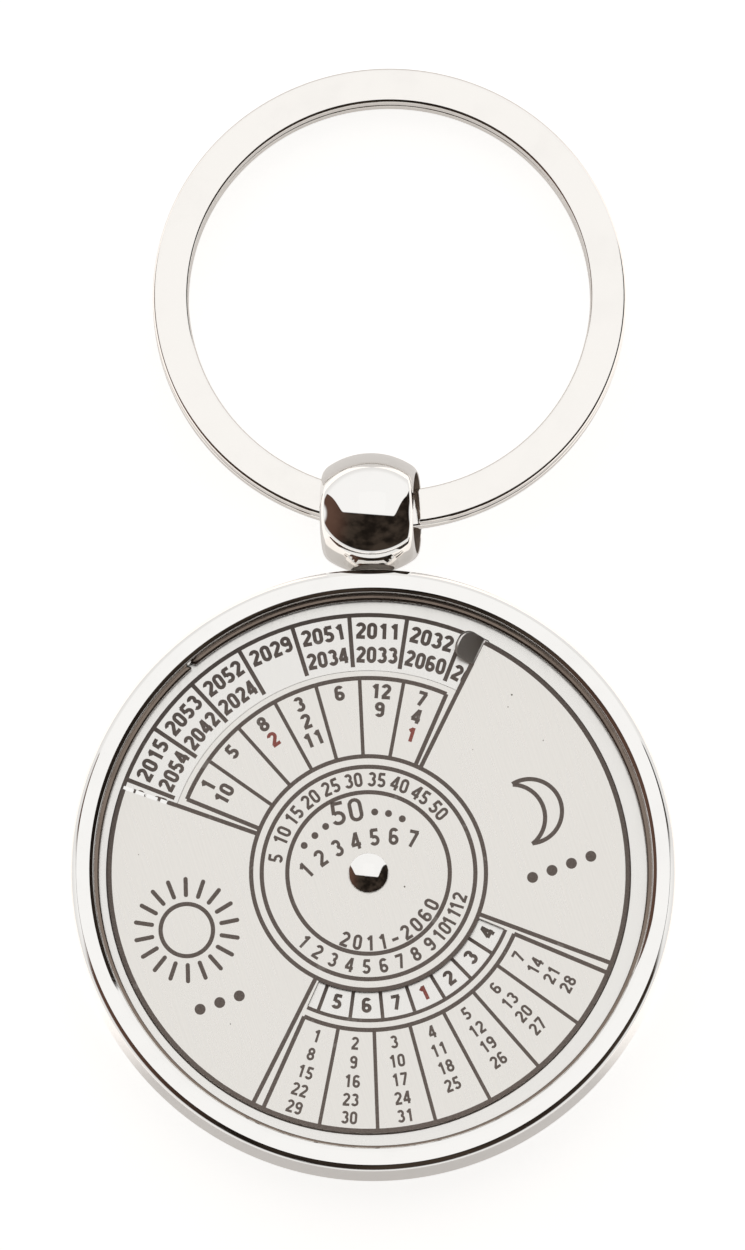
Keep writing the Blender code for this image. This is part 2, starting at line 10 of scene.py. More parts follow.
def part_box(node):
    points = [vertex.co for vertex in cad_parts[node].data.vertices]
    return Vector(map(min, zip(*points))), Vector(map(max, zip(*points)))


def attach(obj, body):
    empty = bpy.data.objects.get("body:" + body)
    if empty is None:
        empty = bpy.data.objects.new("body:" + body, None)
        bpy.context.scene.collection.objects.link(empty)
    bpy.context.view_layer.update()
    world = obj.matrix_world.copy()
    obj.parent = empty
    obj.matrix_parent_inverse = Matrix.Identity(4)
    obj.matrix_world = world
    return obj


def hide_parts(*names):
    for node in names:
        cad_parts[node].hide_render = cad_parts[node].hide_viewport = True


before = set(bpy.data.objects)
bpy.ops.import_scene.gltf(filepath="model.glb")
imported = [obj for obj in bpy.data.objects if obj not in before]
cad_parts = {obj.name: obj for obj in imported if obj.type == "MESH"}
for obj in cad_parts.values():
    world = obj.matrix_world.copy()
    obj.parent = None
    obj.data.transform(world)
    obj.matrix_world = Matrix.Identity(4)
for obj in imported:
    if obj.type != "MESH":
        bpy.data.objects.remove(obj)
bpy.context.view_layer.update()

MM = 0.001
FULL_TURN = 2 * math.pi
QUARTER_TURN = math.pi / 2
ABOUT_Z = dict(cent=(0, 0, 0), axis=(0, 0, 1))
WELD = 0.0002 * MM  # vertices that lie nearer become one
SHARP = math.radians(32)  # edges at a greater angle are shaded as edges
SOFTENED = math.radians(50)  # edges at a greater angle are bevelled, where a piece asks for it
LEVEL = 0.99999  # a face whose normal's z is above this is shaded flat
FIT_GAP = 0.15 * MM  # between pieces that lie on or in each other

# Sizes that the frame gives, in metres
case_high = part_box("case_ring")[1]
disc_low, disc_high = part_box("year_disc")
back_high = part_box("back_plate")[1]
rivet_low, rivet_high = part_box("centre_rivet")
retainer_low, retainer_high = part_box("retaining_ring")
CASE_RADIUS = case_high.x
CASE_HEIGHT = case_high.z
DIAL_X = (disc_low.x + disc_high.x) / 2
YEAR_DISC_RADIUS = (disc_high.x - disc_low.x) / 2
YEAR_DISC_BOTTOM = disc_low.z
YEAR_DISC_TOP = disc_high.z
BACK_PLATE_RADIUS = back_high.x
BACK_PLATE_THICKNESS = back_high.z
RETAINER_RADIUS = retainer_high.x
RETAINER_BOTTOM = retainer_low.z
RETAINER_TOP = retainer_high.z

# Case
CASE_DRAFT = 0.25 * MM
CASE_BACK_ROUND = 0.4 * MM
RIM_BEVEL = 0.38 * MM
RIM_BEVEL_DROP = 0.93 * RIM_BEVEL
RIM_CORNER_ROUND = 0.06 * MM
RIM_EDGE_ROUND = 0.04 * MM
RIM_INNER_RADIUS = CASE_RADIUS - 1.48 * MM
LIP_RADIUS = RIM_INNER_RADIUS - 0.32 * MM
LIP_BOTTOM = RETAINER_TOP + FIT_GAP
LIP_SLOPE_DROP = 0.2 * MM
LIP_ROUND = 0.22 * MM
POCKET_RADIUS = CASE_RADIUS - 1.3 * MM
SHELF_BOTTOM = BACK_PLATE_THICKNESS + FIT_GAP
SHELF_TOP = YEAR_DISC_BOTTOM - FIT_GAP
SHELF_RADIUS = BACK_PLATE_RADIUS - 1.0 * MM
REBATE_RADIUS = BACK_PLATE_RADIUS + FIT_GAP
BACK_PLATE_ROUND = 0.15 * MM

# Retaining ring
RETAINER_WIDTH = 0.66 * MM
RETAINER_ROUND = 0.14 * MM
RETAINER_SPLIT = 0.3 * MM
RETAINER_SPLIT_AT = math.radians(130.8)
RETAINER_SLANT = math.radians(28)

# Calendar plate
PLATE_THICKNESS = 0.35 * MM
PLATE_BOTTOM = YEAR_DISC_TOP + FIT_GAP
PLATE_TOP = PLATE_BOTTOM + PLATE_THICKNESS
PLATE_RADIUS = YEAR_DISC_RADIUS - 1.15 * MM
YEAR_WINDOW_RADIUS = 13.3 * MM
YEAR_WINDOW_FROM = math.radians(63.4)
YEAR_WINDOW_TO = math.radians(161.0)
DAY_WINDOW_INNER = 7.7 * MM
DAY_WINDOW_OUTER = 9.55 * MM
DAY_WINDOW_FROM = math.radians(245.6)
DAY_WINDOW_TO = math.radians(337.4)
PLATE_EDGE_ROUND = 0.03 * MM
TAB_WIDTH = 1.9 * MM
TAB_LENGTH = 1.65 * MM
TAB_OVERHANG = 0.12 * MM
TAB_BEND_RADIUS = 0.3 * MM
TAB_BEND = math.radians(39)
TAB_END_ROUND = 0.85 * MM
TAB_ROOT = 0.25 * MM
TAB_EDGE_ROUND = 0.11 * MM

# Rivet
RIVET_TOP = rivet_high.z
RIVET_BOTTOM = rivet_low.z
RIVET_HEAD_RADIUS = 1.3 * MM
RIVET_HEAD_BOTTOM = PLATE_TOP + FIT_GAP
RIVET_HEAD_WALL = 0.06 * MM
RIVET_EDGE_ROUND = 0.05 * MM
RIVET_SHANK_RADIUS = 0.6 * MM
RIVET_HOLE_RADIUS = RIVET_SHANK_RADIUS + FIT_GAP
RIVET_TAIL_RADIUS = 1.3 * MM
RIVET_TAIL_THICKNESS = 0.25 * MM

# Swivel
PIN_HEIGHT = CASE_HEIGHT / 2
PIN_RADIUS = 0.75 * MM
PIN_HEAD_RADIUS = 1.2 * MM
PIN_INNER_HEAD = 0.25 * MM
PIN_OUTER_HEAD = 0.45 * MM
PIN_DOME = 0.225 * MM
PIN_PLAY = 0.04 * MM
SEAT_RADIUS = 1.5 * MM
SEAT_DEPTH = 0.5 * MM
SEAT_Y = CASE_RADIUS - SEAT_DEPTH
BEAD_GAP = 0.25 * MM
BEAD_RADIUS = 3.95 * MM
BEAD_CROWN = 4.9 * MM
BEAD_CROWN_TURN = math.radians(33.4)
BEAD_END_ROUND = 1.0 * MM
BEAD_SHIFT = -0.16 * MM
BORE_RADIUS = 2.66 * MM
BORE_EDGE_ROUND = 0.05 * MM
COUNTERBORE_DEPTH = 0.35 * MM
BEAD_Y = SEAT_Y + BEAD_GAP + BEAD_RADIUS
BEAD_YAW = math.radians(6.4)
COUNTERBORE_Y = BEAD_Y - BORE_RADIUS - COUNTERBORE_DEPTH

# Split ring
RING_RADIUS = 15.5 * MM
WIRE_WIDTH = 2.35 * MM
WIRE_THICKNESS = 0.9 * MM
WIRE_EDGE_ROUND = 0.27 * MM
WIRE_END_ROUND = 0.05 * MM
COIL_GAP = 0.1 * MM
RING_OFFSET = 1.05 * MM
RING_LIFT = 0.18 * MM
RING_DROOP = math.radians(7.65)
CROSSING_FROM = math.radians(257)
CROSSING_TURN = math.radians(18)
END_CLEARANCE = math.radians(2)

# Steps round the turned pieces, along what is swept, and in a rounded corner
CORNER_STEPS = 4
CASE_STEPS = 256
DISC_STEPS = 192
RETAINER_STEPS = 240
PLATE_STEPS = 240
YEAR_WINDOW_STEPS = 80
DAY_WINDOW_STEPS = 60
HOLE_STEPS = 48
TAB_STEPS = 10
RIVET_STEPS = 96
DOME_STEPS = 24
PIN_STEPS = 64
BEAD_STEPS = 160
BEAD_CROWN_STEPS = 56
BEAD_END_STEPS = 20
WIRE_EDGE_STEPS = 5
COIL_STEPS = 170
CROSSING_STEPS = 16

# Print on the dial
PRINT_DEPTH = 0.02 * MM
PRINT_PROUD = 0.006 * MM
LINE_WIDTH = 0.28 * MM
FINE_LINE = 0.24 * MM
FIGURE_LINE = 0.28 * MM
STEP_DOWN = 0.1 * PRINT_PROUD  # by which a mark lies lower than one that it crosses
ARC_STEP = math.radians(2.5)
CELL = FULL_TURN / 28


def link(obj):
    bpy.context.scene.collection.objects.link(obj)
    return obj


def mesh_from(bm, name):
    """Moves what a bmesh holds to a new mesh."""
    mesh = bpy.data.meshes.new(name)
    bm.to_mesh(mesh)
    bm.free()
    return mesh


def finished(bm, name, body, materials, nodes=(), cutters=(), joined=()):
    """Turns a bmesh into a piece that rides on a body and stands for the CAD nodes named."""
    bmesh.ops.remove_doubles(bm, verts=bm.verts, dist=WELD)
    bmesh.ops.recalc_face_normals(bm, faces=bm.faces)
    mesh = mesh_from(bm, name)
    for finish in materials:
        mesh.materials.append(finish)
    piece = link(bpy.data.objects.new(name, mesh))
    for shapes, operation in ((cutters, "DIFFERENCE"), (joined, "UNION")):
        for shape in shapes:
            change = piece.modifiers.new("shape", "BOOLEAN")
            change.object = shape
            change.operation = operation
    keep_result(piece)
    for shape in (*cutters, *joined):
        bpy.data.objects.remove(shape, do_unlink=True)
    piece.data.shade_smooth()
    for face in piece.data.polygons:
        face.use_smooth = abs(face.normal.z) < LEVEL
    piece.data.set_sharp_from_angle(angle=SHARP)
    flats = piece.modifiers.new("flats", "WEIGHTED_NORMAL")
    flats.mode = "FACE_AREA"
    flats.weight = 80
    flats.keep_sharp = True
    keep_result(piece)
    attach(piece, body)
    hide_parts(*nodes)
    return piece


def keep_result(piece):
    """Makes what a piece's modifiers give its own mesh."""
    if not piece.modifiers:
        return
    graph = bpy.context.evaluated_depsgraph_get()
    mesh = bpy.data.meshes.new_from_object(piece.evaluated_get(graph))
    piece.modifiers.clear()
    piece.data = mesh


def round_corners(bm, verts, radii):
    """Rounds wire corners. A corner's reach along its edges follows from its radius and angle."""
    for vert, radius in zip(verts, radii):
        if radius == 0:
            continue
        arms = [edge.other_vert(vert).co - vert.co for edge in vert.link_edges]
        reach = radius / math.tan(arms[0].angle(arms[1]) / 2)
        bevel(bm, [vert], reach, CORNER_STEPS, "VERTICES")


def bevel(bm, geom, offset, segments, affect, clamp=False):
    """Rounds vertices or edges. The new faces keep the finish of those beside them."""
    bmesh.ops.bevel(
        bm,
        geom=geom,
        offset=offset,
        segments=segments,
        profile=0.5,
        affect=affect,
        material=-1,
        clamp_overlap=clamp,
    )


def turn_round(bm, steps):
    """A full turn of everything in the bmesh round the Z axis."""
    everything = bm.verts[:] + bm.edges[:]
    bmesh.ops.spin(bm, geom=everything, **ABOUT_Z, angle=FULL_TURN, steps=steps, use_merge=True)


def turned(corners, steps, closed=False):
    """A section of corners (x, z, radius), rounded where it has a radius, turned round the Z axis."""
    bm = bmesh.new()
    verts = [bm.verts.new((x, 0, z)) for x, z, _ in corners]
    for pair in zip(verts, verts[1:] + verts[:1] if closed else verts[1:]):
        bm.edges.new(pair)
    round_corners(bm, verts, [radius for _, _, radius in corners])
    turn_round(bm, steps)
    return bm


def spun_end(bm, vert, **run):
    """Edges along the arc that a vertex makes when it is spun. Returns the vertex at its end."""
    made = bmesh.ops.spin(bm, geom=[vert], **run)
    return [item for item in made["geom_last"] if isinstance(item, bmesh.types.BMVert)][0]


def swept(bm, corners, runs, rounding=0):
    """Sweeps a closed section along runs of bmesh.ops.spin, with both ends capped."""
    cap = bm.faces.new([bm.verts.new(corner) for corner in corners])
    if rounding:
        bevel(bm, list(cap.verts), rounding, WIRE_EDGE_STEPS, "VERTICES")
        bm.faces.ensure_lookup_table()
        cap = bm.faces[-1]
    loop = list(cap.edges)
    for run in runs:
        made = bmesh.ops.spin(bm, geom=loop, **run)
        loop = [item for item in made["geom_last"] if isinstance(item, bmesh.types.BMEdge)]
    end = bmesh.ops.contextual_create(bm, geom=loop)["faces"]
    return [cap, *end]


def soften(bm, offset, segments):
    """Bevels every edge where the surface turns by more than SOFTENED."""
    sharp = [edge for edge in bm.edges if edge.is_manifold and edge.calc_face_angle(0) > SOFTENED]
    bevel(bm, sharp, offset, segments, "EDGES", clamp=True)


def box_section(inner, outer, low, high):
    """The four corners of an oblong section at y = 0."""
    return [Vector((x, 0, z)) for x, z in ((inner, low), (outer, low), (outer, high), (inner, high))]


def add_cylinder(bm, radius, depth, place, segments):
    bmesh.ops.create_cone(
        bm,
        cap_ends=True,
        segments=segments,
        radius1=radius,
        radius2=radius,
        depth=depth,
        matrix=place,
    )


def rod(radius, start, end):
    """A cutter: a cylinder along the pin's axis. What it cuts gets the piece's second finish."""
    bm = bmesh.new()
    place = Matrix.Translation((0, (start + end) / 2, PIN_HEIGHT)) @ Matrix.Rotation(QUARTER_TURN, 4, "X")
    add_cylinder(bm, radius, end - start, place, PIN_STEPS)
    for face in bm.faces:
        face.material_index = 1
    return link(bpy.data.objects.new("cutter", mesh_from(bm, "cutter")))


# Shader groups and materials

METAL_RELIEF = 0.002 * MM
INK_RELIEF = 0.004 * MM
# Waves per metre along each axis, and for scratches the lean of each set too
FINE_STREAKS = (9000, 260, 400)
COARSE_STREAKS = (2600, 60, 100)
SCRATCHES = ((0.5, (4200, 120, 120)), (-0.9, (3600, 150, 150)), (1.9, (3900, 90, 90)))


def new_group(name, inputs):
    """A shader group that gives a colour, a roughness and a height."""
    group = bpy.data.node_groups.new(name, "ShaderNodeTree")
    for label, kind, value in inputs:
        socket = group.interface.new_socket(label, in_out="INPUT", socket_type="NodeSocket" + kind)
        socket.default_value = value
    for label, kind in (("Color", "Color"), ("Roughness", "Float"), ("Height", "Float")):
        group.interface.new_socket(label, in_out="OUTPUT", socket_type="NodeSocket" + kind)
    nodes = group.nodes
    return group, nodes.new("NodeGroupInput").outputs, nodes.new("NodeGroupOutput").inputs


def feed(tree, source, target):
    """Links a socket, or sets a plain value."""
    if isinstance(source, bpy.types.NodeSocket):
        tree.links.new(source, target)
    elif source is not None:
        target.default_value = source


def node(tree, kind, inputs=None, **settings):
    made = tree.nodes.new("ShaderNode" + kind)
    for key, value in settings.items():
        setattr(made, key, value)
    for key, value in (inputs or {}).items():
        feed(tree, value, made.inputs[key])
    return made


def streaks(tree, vector, rotation, scale, detail):
    """Noise over object coordinates that are turned first and stretched then."""
    leaning = node(tree, "Mapping", {"Vector": vector, "Rotation": rotation}).outputs[0]
    long = node(tree, "Mapping", {"Vector": leaning, "Scale": scale}).outputs[0]
    return noise(tree, long, 1.0, detail)


def noise(tree, vector, scale, detail=3.0, roughness=0.5):
    inputs = {"Vector": vector, "Scale": scale, "Detail": detail, "Roughness": roughness}
    return node(tree, "TexNoise", inputs).outputs["Fac"]


def ramp(tree, value, low, high, to_low=0.0, to_high=1.0):
    inputs = {"Value": value, "From Min": low, "From Max": high, "To Min": to_low, "To Max": to_high}
    return node(tree, "MapRange", inputs, interpolation_type="SMOOTHSTEP").outputs["Result"]


def maths(tree, operation, *values):
    made = node(tree, "Math", operation=operation)
    for socket, value in zip(made.inputs, values):
        feed(tree, value, socket)
    return made.outputs[0]


def blend_color(tree, share, first, second, how="MIX"):
    mix = node(tree, "Mix", data_type="RGBA", blend_type=how)
    feed(tree, share, mix.inputs[0])
    feed(tree, first, mix.inputs[6])
    feed(tree, second, mix.inputs[7])
    return mix.outputs[2]


def shade_color(group, color, shade, target):
    """Feeds a socket with a colour that is multiplied by a number."""
    grey = node(group, "CombineColor", {"Red": shade, "Green": shade, "Blue": shade}).outputs[0]
    feed(group, blend_color(group, 1.0, color, grey, "MULTIPLY"), target)


def build_brushing():
    """Straight brushing: long fine streaks that vary colour, roughness and height."""
    inputs = [
        ("Color", "Color", (0.8, 0.79, 0.76, 1)),
        ("Angle", "Float", 0.0),
        ("Contrast", "Float", 0.08),
        ("Roughness", "Float", 0.3),
    ]
    group, given, out = new_group("straight_brushing", inputs)
    place = node(group, "TexCoord").outputs["Object"]
    turn = node(group, "CombineXYZ", {"Z": given["Angle"]}).outputs[0]
    fine = streaks(group, place, turn, FINE_STREAKS, 2.0)
    coarse = streaks(group, place, turn, COARSE_STREAKS, 2.0)
    cloud = noise(group, place, 220.0, 2.0)
    streak = maths(group, "ADD", maths(group, "MULTIPLY", fine, 0.6), maths(group, "MULTIPLY", coarse, 0.4))
    wide = maths(group, "ADD", maths(group, "MULTIPLY", streak, 0.8), maths(group, "MULTIPLY", cloud, 0.2))
    level = ramp(group, wide, 0.3, 0.7, -1.0, 1.0)
    shade = maths(group, "MULTIPLY_ADD", level, given["Contrast"], 1.0)
    shade_color(group, given["Color"], shade, out["Color"])
    rough = maths(group, "MULTIPLY_ADD", level, 0.05, given["Roughness"])
    feed(group, rough, out["Roughness"])
    feed(group, streak, out["Height"])
    return group


def build_handling():
    """Traces of use on polished metal: faint smudges and sparse hair scratches."""
    inputs = [
        ("Color", "Color", (0.9, 0.89, 0.87, 1)),
        ("Roughness", "Float", 0.04),
        ("Smudge", "Float", 0.05),
        ("Scratch", "Float", 0.3),
    ]
    group, given, out = new_group("traces_of_use", inputs)
    place = node(group, "TexCoord").outputs["Object"]
    cloud = noise(group, place, 260.0, 4.0, 0.6)
    smudge = ramp(group, cloud, 0.45, 0.75)
    lines = None
    for angle, scale in SCRATCHES:
        streak = streaks(group, place, (0, 0, angle), scale, 1.0)
        line = ramp(group, streak, 0.71, 0.76)
        lines = line if lines is None else maths(group, "MAXIMUM", lines, line)
    marks = maths(group, "MULTIPLY", lines, given["Scratch"])
    rough = maths(group, "MULTIPLY_ADD", smudge, given["Smudge"], given["Roughness"])
    rough = maths(group, "MULTIPLY_ADD", marks, 0.2, rough)
    feed(group, rough, out["Roughness"])
    shade_color(group, given["Color"], maths(group, "MULTIPLY_ADD", smudge, -0.03, 1.0), out["Color"])
    feed(group, maths(group, "MULTIPLY", marks, -1.0), out["Height"])
    return group


def new_material(name):
    material = bpy.data.materials.new(name)
    material.use_nodes = True
    return material, material.node_tree, material.node_tree.nodes["Principled BSDF"]


def metal(name, group, color, roughness, bump=0.05, metallic=1.0, **values):
    """A metal whose colour, roughness and relief come from a group with its own values."""
    material, tree, shader = new_material(name)
    effect = node(tree, "Group", node_tree=group)
    for key, value in dict(values, Color=(*color, 1), Roughness=roughness).items():
        effect.inputs[key].default_value = value
    shader.inputs["Metallic"].default_value = metallic
    feed(tree, effect.outputs["Color"], shader.inputs["Base Color"])
    feed(tree, effect.outputs["Roughness"], shader.inputs["Roughness"])
    height = effect.outputs["Height"]
    relief = node(tree, "Bump", {"Height": height, "Strength": bump, "Distance": METAL_RELIEF})
    feed(tree, relief.outputs[0], shader.inputs["Normal"])
    return material


def ink(name, color, worn_color):
    """Etched and filled print: a dull colour, with grain and a few places worn thin."""
    material, tree, shader = new_material(name)
    place = node(tree, "TexCoord").outputs["Object"]
    grain = noise(tree, place, 9000.0, 2.0)
    patch = noise(tree, place, 900.0, 3.0)
    tone = blend_color(tree, ramp(tree, grain, 0.3, 0.75, 0.0, 0.35), color, worn_color)
    worn = ramp(tree, patch, 0.66, 0.72, 0.0, 0.7)
    feed(tree, blend_color(tree, worn, tone, worn_color), shader.inputs["Base Color"])
    feed(tree, ramp(tree, grain, 0.2, 0.8, 0.42, 0.62), shader.inputs["Roughness"])
    relief = node(tree, "Bump", {"Height": grain, "Strength": 0.2, "Distance": INK_RELIEF})
    feed(tree, relief.outputs[0], shader.inputs["Normal"])
    return material


BRUSHING = build_brushing()
HANDLING = build_handling()
CHROME = metal("polished_chrome", HANDLING, (0.91, 0.9, 0.885), 0.03, Smudge=0.03, Scratch=0.25)
BEAD_CHROME = metal("bead_chrome", HANDLING, (0.92, 0.91, 0.895), 0.02, Smudge=0.02, Scratch=0.15)
NICKEL = metal("ring_nickel", HANDLING, (0.925, 0.9, 0.87), 0.06, Smudge=0.06, Scratch=0.4)
BORE_METAL = metal("bore_metal", HANDLING, (0.5, 0.43, 0.37), 0.35, Smudge=0.1, Scratch=0.5)
DRILLED_METAL = metal(
    "drilled_metal", HANDLING, (0.85, 0.79, 0.73), 0.45, metallic=0.3, Smudge=0.1, Scratch=0.3
)
TAB_STEEL = metal("tab_steel", HANDLING, (0.86, 0.83, 0.8), 0.34, Smudge=0.1, Scratch=0.4)
SPRING_STEEL = metal("spring_steel", HANDLING, (0.22, 0.175, 0.145), 0.2, Smudge=0.1, Scratch=0.2)
PLATE_STEEL = metal(
    "plate_steel", BRUSHING, (0.845, 0.82, 0.782), 0.3, bump=0.25, Angle=math.radians(-18), Contrast=0.05
)
DISC_STEEL = metal(
    "disc_steel", BRUSHING, (0.82, 0.805, 0.78), 0.22, bump=0.08, Angle=math.radians(-4), Contrast=0.03
)
BACK_STEEL = metal(
    "back_steel", BRUSHING, (0.78, 0.77, 0.75), 0.3, bump=0.3, Angle=math.radians(40), Contrast=0.07
)
INK = ink("dark_ink", (0.165, 0.125, 0.104, 1), (0.34, 0.3, 0.27, 1))
RED_INK = ink("red_ink", (0.42, 0.09, 0.068, 1), (0.55, 0.3, 0.25, 1))


# Case and what lies in it

def make_case():
    """The case, with the flat seat for the bead and the pin's hole cut into its wall."""
    front = CASE_RADIUS - CASE_DRAFT
    corners = [
        (front - RIM_BEVEL, CASE_HEIGHT, RIM_CORNER_ROUND),
        (front, CASE_HEIGHT - RIM_BEVEL_DROP, RIM_CORNER_ROUND),
        (CASE_RADIUS, 0, CASE_BACK_ROUND),
        (REBATE_RADIUS, 0, RIM_EDGE_ROUND),
        (REBATE_RADIUS, SHELF_BOTTOM, 0),
        (SHELF_RADIUS, SHELF_BOTTOM, 0),
        (SHELF_RADIUS, SHELF_TOP, 0),
        (POCKET_RADIUS, SHELF_TOP, 0),
        (POCKET_RADIUS, LIP_BOTTOM, 0),
        (LIP_RADIUS, LIP_BOTTOM, RIM_EDGE_ROUND),
        (LIP_RADIUS, CASE_HEIGHT - LIP_SLOPE_DROP, LIP_ROUND),
        (RIM_INNER_RADIUS, CASE_HEIGHT, RIM_EDGE_ROUND),
    ]
    bm = turned(corners, CASE_STEPS, closed=True)
    recess_end = POCKET_RADIUS + PIN_INNER_HEAD + FIT_GAP
    cutters = [
        rod(SEAT_RADIUS, SEAT_Y, CASE_RADIUS + MM),
        rod(PIN_HEAD_RADIUS + FIT_GAP, RETAINER_RADIUS, recess_end),
        rod(PIN_RADIUS + PIN_PLAY, RETAINER_RADIUS, CASE_RADIUS),
    ]
    finished(bm, "case_body", "case", [CHROME, DRILLED_METAL], ["case_ring"], cutters)


def make_year_disc():
    corners = [
        (YEAR_DISC_RADIUS, YEAR_DISC_TOP, PLATE_EDGE_ROUND),
        (YEAR_DISC_RADIUS, YEAR_DISC_BOTTOM, PLATE_EDGE_ROUND),
        (RIVET_HOLE_RADIUS, YEAR_DISC_BOTTOM, 0),
        (RIVET_HOLE_RADIUS, YEAR_DISC_TOP, 0),
    ]
    bm = turned(corners, DISC_STEPS, closed=True)
    bmesh.ops.translate(bm, verts=bm.verts, vec=(DIAL_X, 0, 0))
    finished(bm, "year_disc_face", "case", [DISC_STEEL], ["year_disc"])


def make_retaining_ring():
    """The snap ring, swept round from one side of its slanted split to the other."""
    inner = RETAINER_RADIUS - RETAINER_WIDTH
    bm = bmesh.new()
    corners = box_section(inner, RETAINER_RADIUS, RETAINER_BOTTOM, RETAINER_TOP)
    split_turn = RETAINER_SPLIT / RETAINER_RADIUS
    run = dict(ABOUT_Z, angle=FULL_TURN - split_turn, steps=RETAINER_STEPS)
    caps = swept(bm, corners, [run])
    lean = Matrix.Rotation(RETAINER_WIDTH * math.tan(RETAINER_SLANT) / RETAINER_RADIUS, 3, "Z")
    outer = {v for cap in caps for v in cap.verts if v.co.xy.length > RETAINER_RADIUS - WELD}
    bmesh.ops.rotate(bm, cent=(0, 0, 0), matrix=lean, verts=list(outer))
    soften(bm, RETAINER_ROUND, segments=3)
    place = Matrix.Rotation(RETAINER_SPLIT_AT + split_turn / 2, 3, "Z")
    bmesh.ops.rotate(bm, cent=(0, 0, 0), matrix=place, verts=bm.verts)
    finished(bm, "snap_ring", "case", [SPRING_STEEL], ["retaining_ring"])


def make_back_plate():
    corners = [
        (0, BACK_PLATE_THICKNESS, 0),
        (BACK_PLATE_RADIUS, BACK_PLATE_THICKNESS, 0),
        (BACK_PLATE_RADIUS, 0, BACK_PLATE_ROUND),
        (0, 0, 0),
    ]
    bm = turned(corners, DISC_STEPS)
    finished(bm, "back_cover", "case", [BACK_STEEL], ["back_plate"])


def spun_vertex(bm, radius, start, end, steps):
    """Edges along an arc round the origin. Returns its first and last vertex."""
    first = bm.verts.new((radius * math.cos(start), radius * math.sin(start), 0))
    return first, spun_end(bm, first, **ABOUT_Z, angle=end - start, steps=steps)


def make_calendar_plate():
    """The plate with its two windows, and its finger tab bent up at the year window's corner."""
    bm = bmesh.new()
    outer_first, outer_last = spun_vertex(
        bm, PLATE_RADIUS, YEAR_WINDOW_TO, YEAR_WINDOW_FROM + FULL_TURN, PLATE_STEPS
    )
    inner_first, inner_last = spun_vertex(
        bm, YEAR_WINDOW_RADIUS, YEAR_WINDOW_FROM, YEAR_WINDOW_TO, YEAR_WINDOW_STEPS
    )
    bm.edges.new((outer_last, inner_first))
    bm.edges.new((inner_last, outer_first))
    outer_ends = spun_vertex(bm, DAY_WINDOW_OUTER, DAY_WINDOW_FROM, DAY_WINDOW_TO, DAY_WINDOW_STEPS)
    inner_ends = spun_vertex(bm, DAY_WINDOW_INNER, DAY_WINDOW_FROM, DAY_WINDOW_TO, DAY_WINDOW_STEPS)
    for pair in zip(outer_ends, inner_ends):
        bm.edges.new(pair)
    bmesh.ops.create_circle(bm, segments=HOLE_STEPS, radius=RIVET_HOLE_RADIUS)
    bmesh.ops.triangle_fill(bm, use_beauty=True, edges=bm.edges[:], normal=(0, 0, 1))
    top = bmesh.ops.extrude_face_region(bm, geom=bm.faces[:])
    moved = [item for item in top["geom"] if isinstance(item, bmesh.types.BMVert)]
    bmesh.ops.translate(bm, verts=moved, vec=(0, 0, PLATE_THICKNESS))
    soften(bm, PLATE_EDGE_ROUND, segments=1)
    bmesh.ops.translate(bm, verts=bm.verts, vec=(DIAL_X, 0, PLATE_BOTTOM))
    nodes = ["calendar_plate"]
    finished(bm, "calendar_face", "dial", [PLATE_STEEL, TAB_STEEL], nodes, joined=[make_tab()])


def make_tab():
    """The finger tab, swept out of the plate, round its bend and up, with a round end."""
    half = TAB_WIDTH / 2
    bm = bmesh.new()
    corners = [
        (-TAB_ROOT, -half, PLATE_TOP),
        (-TAB_ROOT, half, PLATE_TOP),
        (-TAB_ROOT, half, PLATE_BOTTOM),
        (-TAB_ROOT, -half, PLATE_BOTTOM),
    ]
    level = dict(ABOUT_Z, angle=0, steps=1, dvec=(TAB_ROOT, 0, 0))
    bend_place = (0, 0, PLATE_TOP + TAB_BEND_RADIUS)
    bend = dict(cent=bend_place, axis=(0, -1, 0), angle=TAB_BEND, steps=TAB_STEPS)
    reach = (math.cos(TAB_BEND) * TAB_LENGTH, 0, math.sin(TAB_BEND) * TAB_LENGTH)
    out = dict(ABOUT_Z, angle=0, steps=1, dvec=reach)
    tip = swept(bm, corners, [level, bend, out])[1]
    ends = [edge for edge in tip.edges if abs(edge.verts[0].co.y - edge.verts[1].co.y) < WELD]
    bevel(bm, ends, TAB_END_ROUND, TAB_STEPS, "EDGES")
    soften(bm, TAB_EDGE_ROUND, segments=3)
    bmesh.ops.recalc_face_normals(bm, faces=bm.faces)
    place = Matrix.Rotation(YEAR_WINDOW_FROM, 4, "Z")
    place = place @ Matrix.Translation((PLATE_RADIUS + TAB_OVERHANG - half, 0, 0))
    place = Matrix.Translation((DIAL_X, 0, 0)) @ place @ Matrix.Rotation(QUARTER_TURN, 4, "Z")
    bmesh.ops.transform(bm, matrix=place, verts=bm.verts)
    for face in bm.faces:
        face.material_index = 1
    return link(bpy.data.objects.new("tab", mesh_from(bm, "tab")))


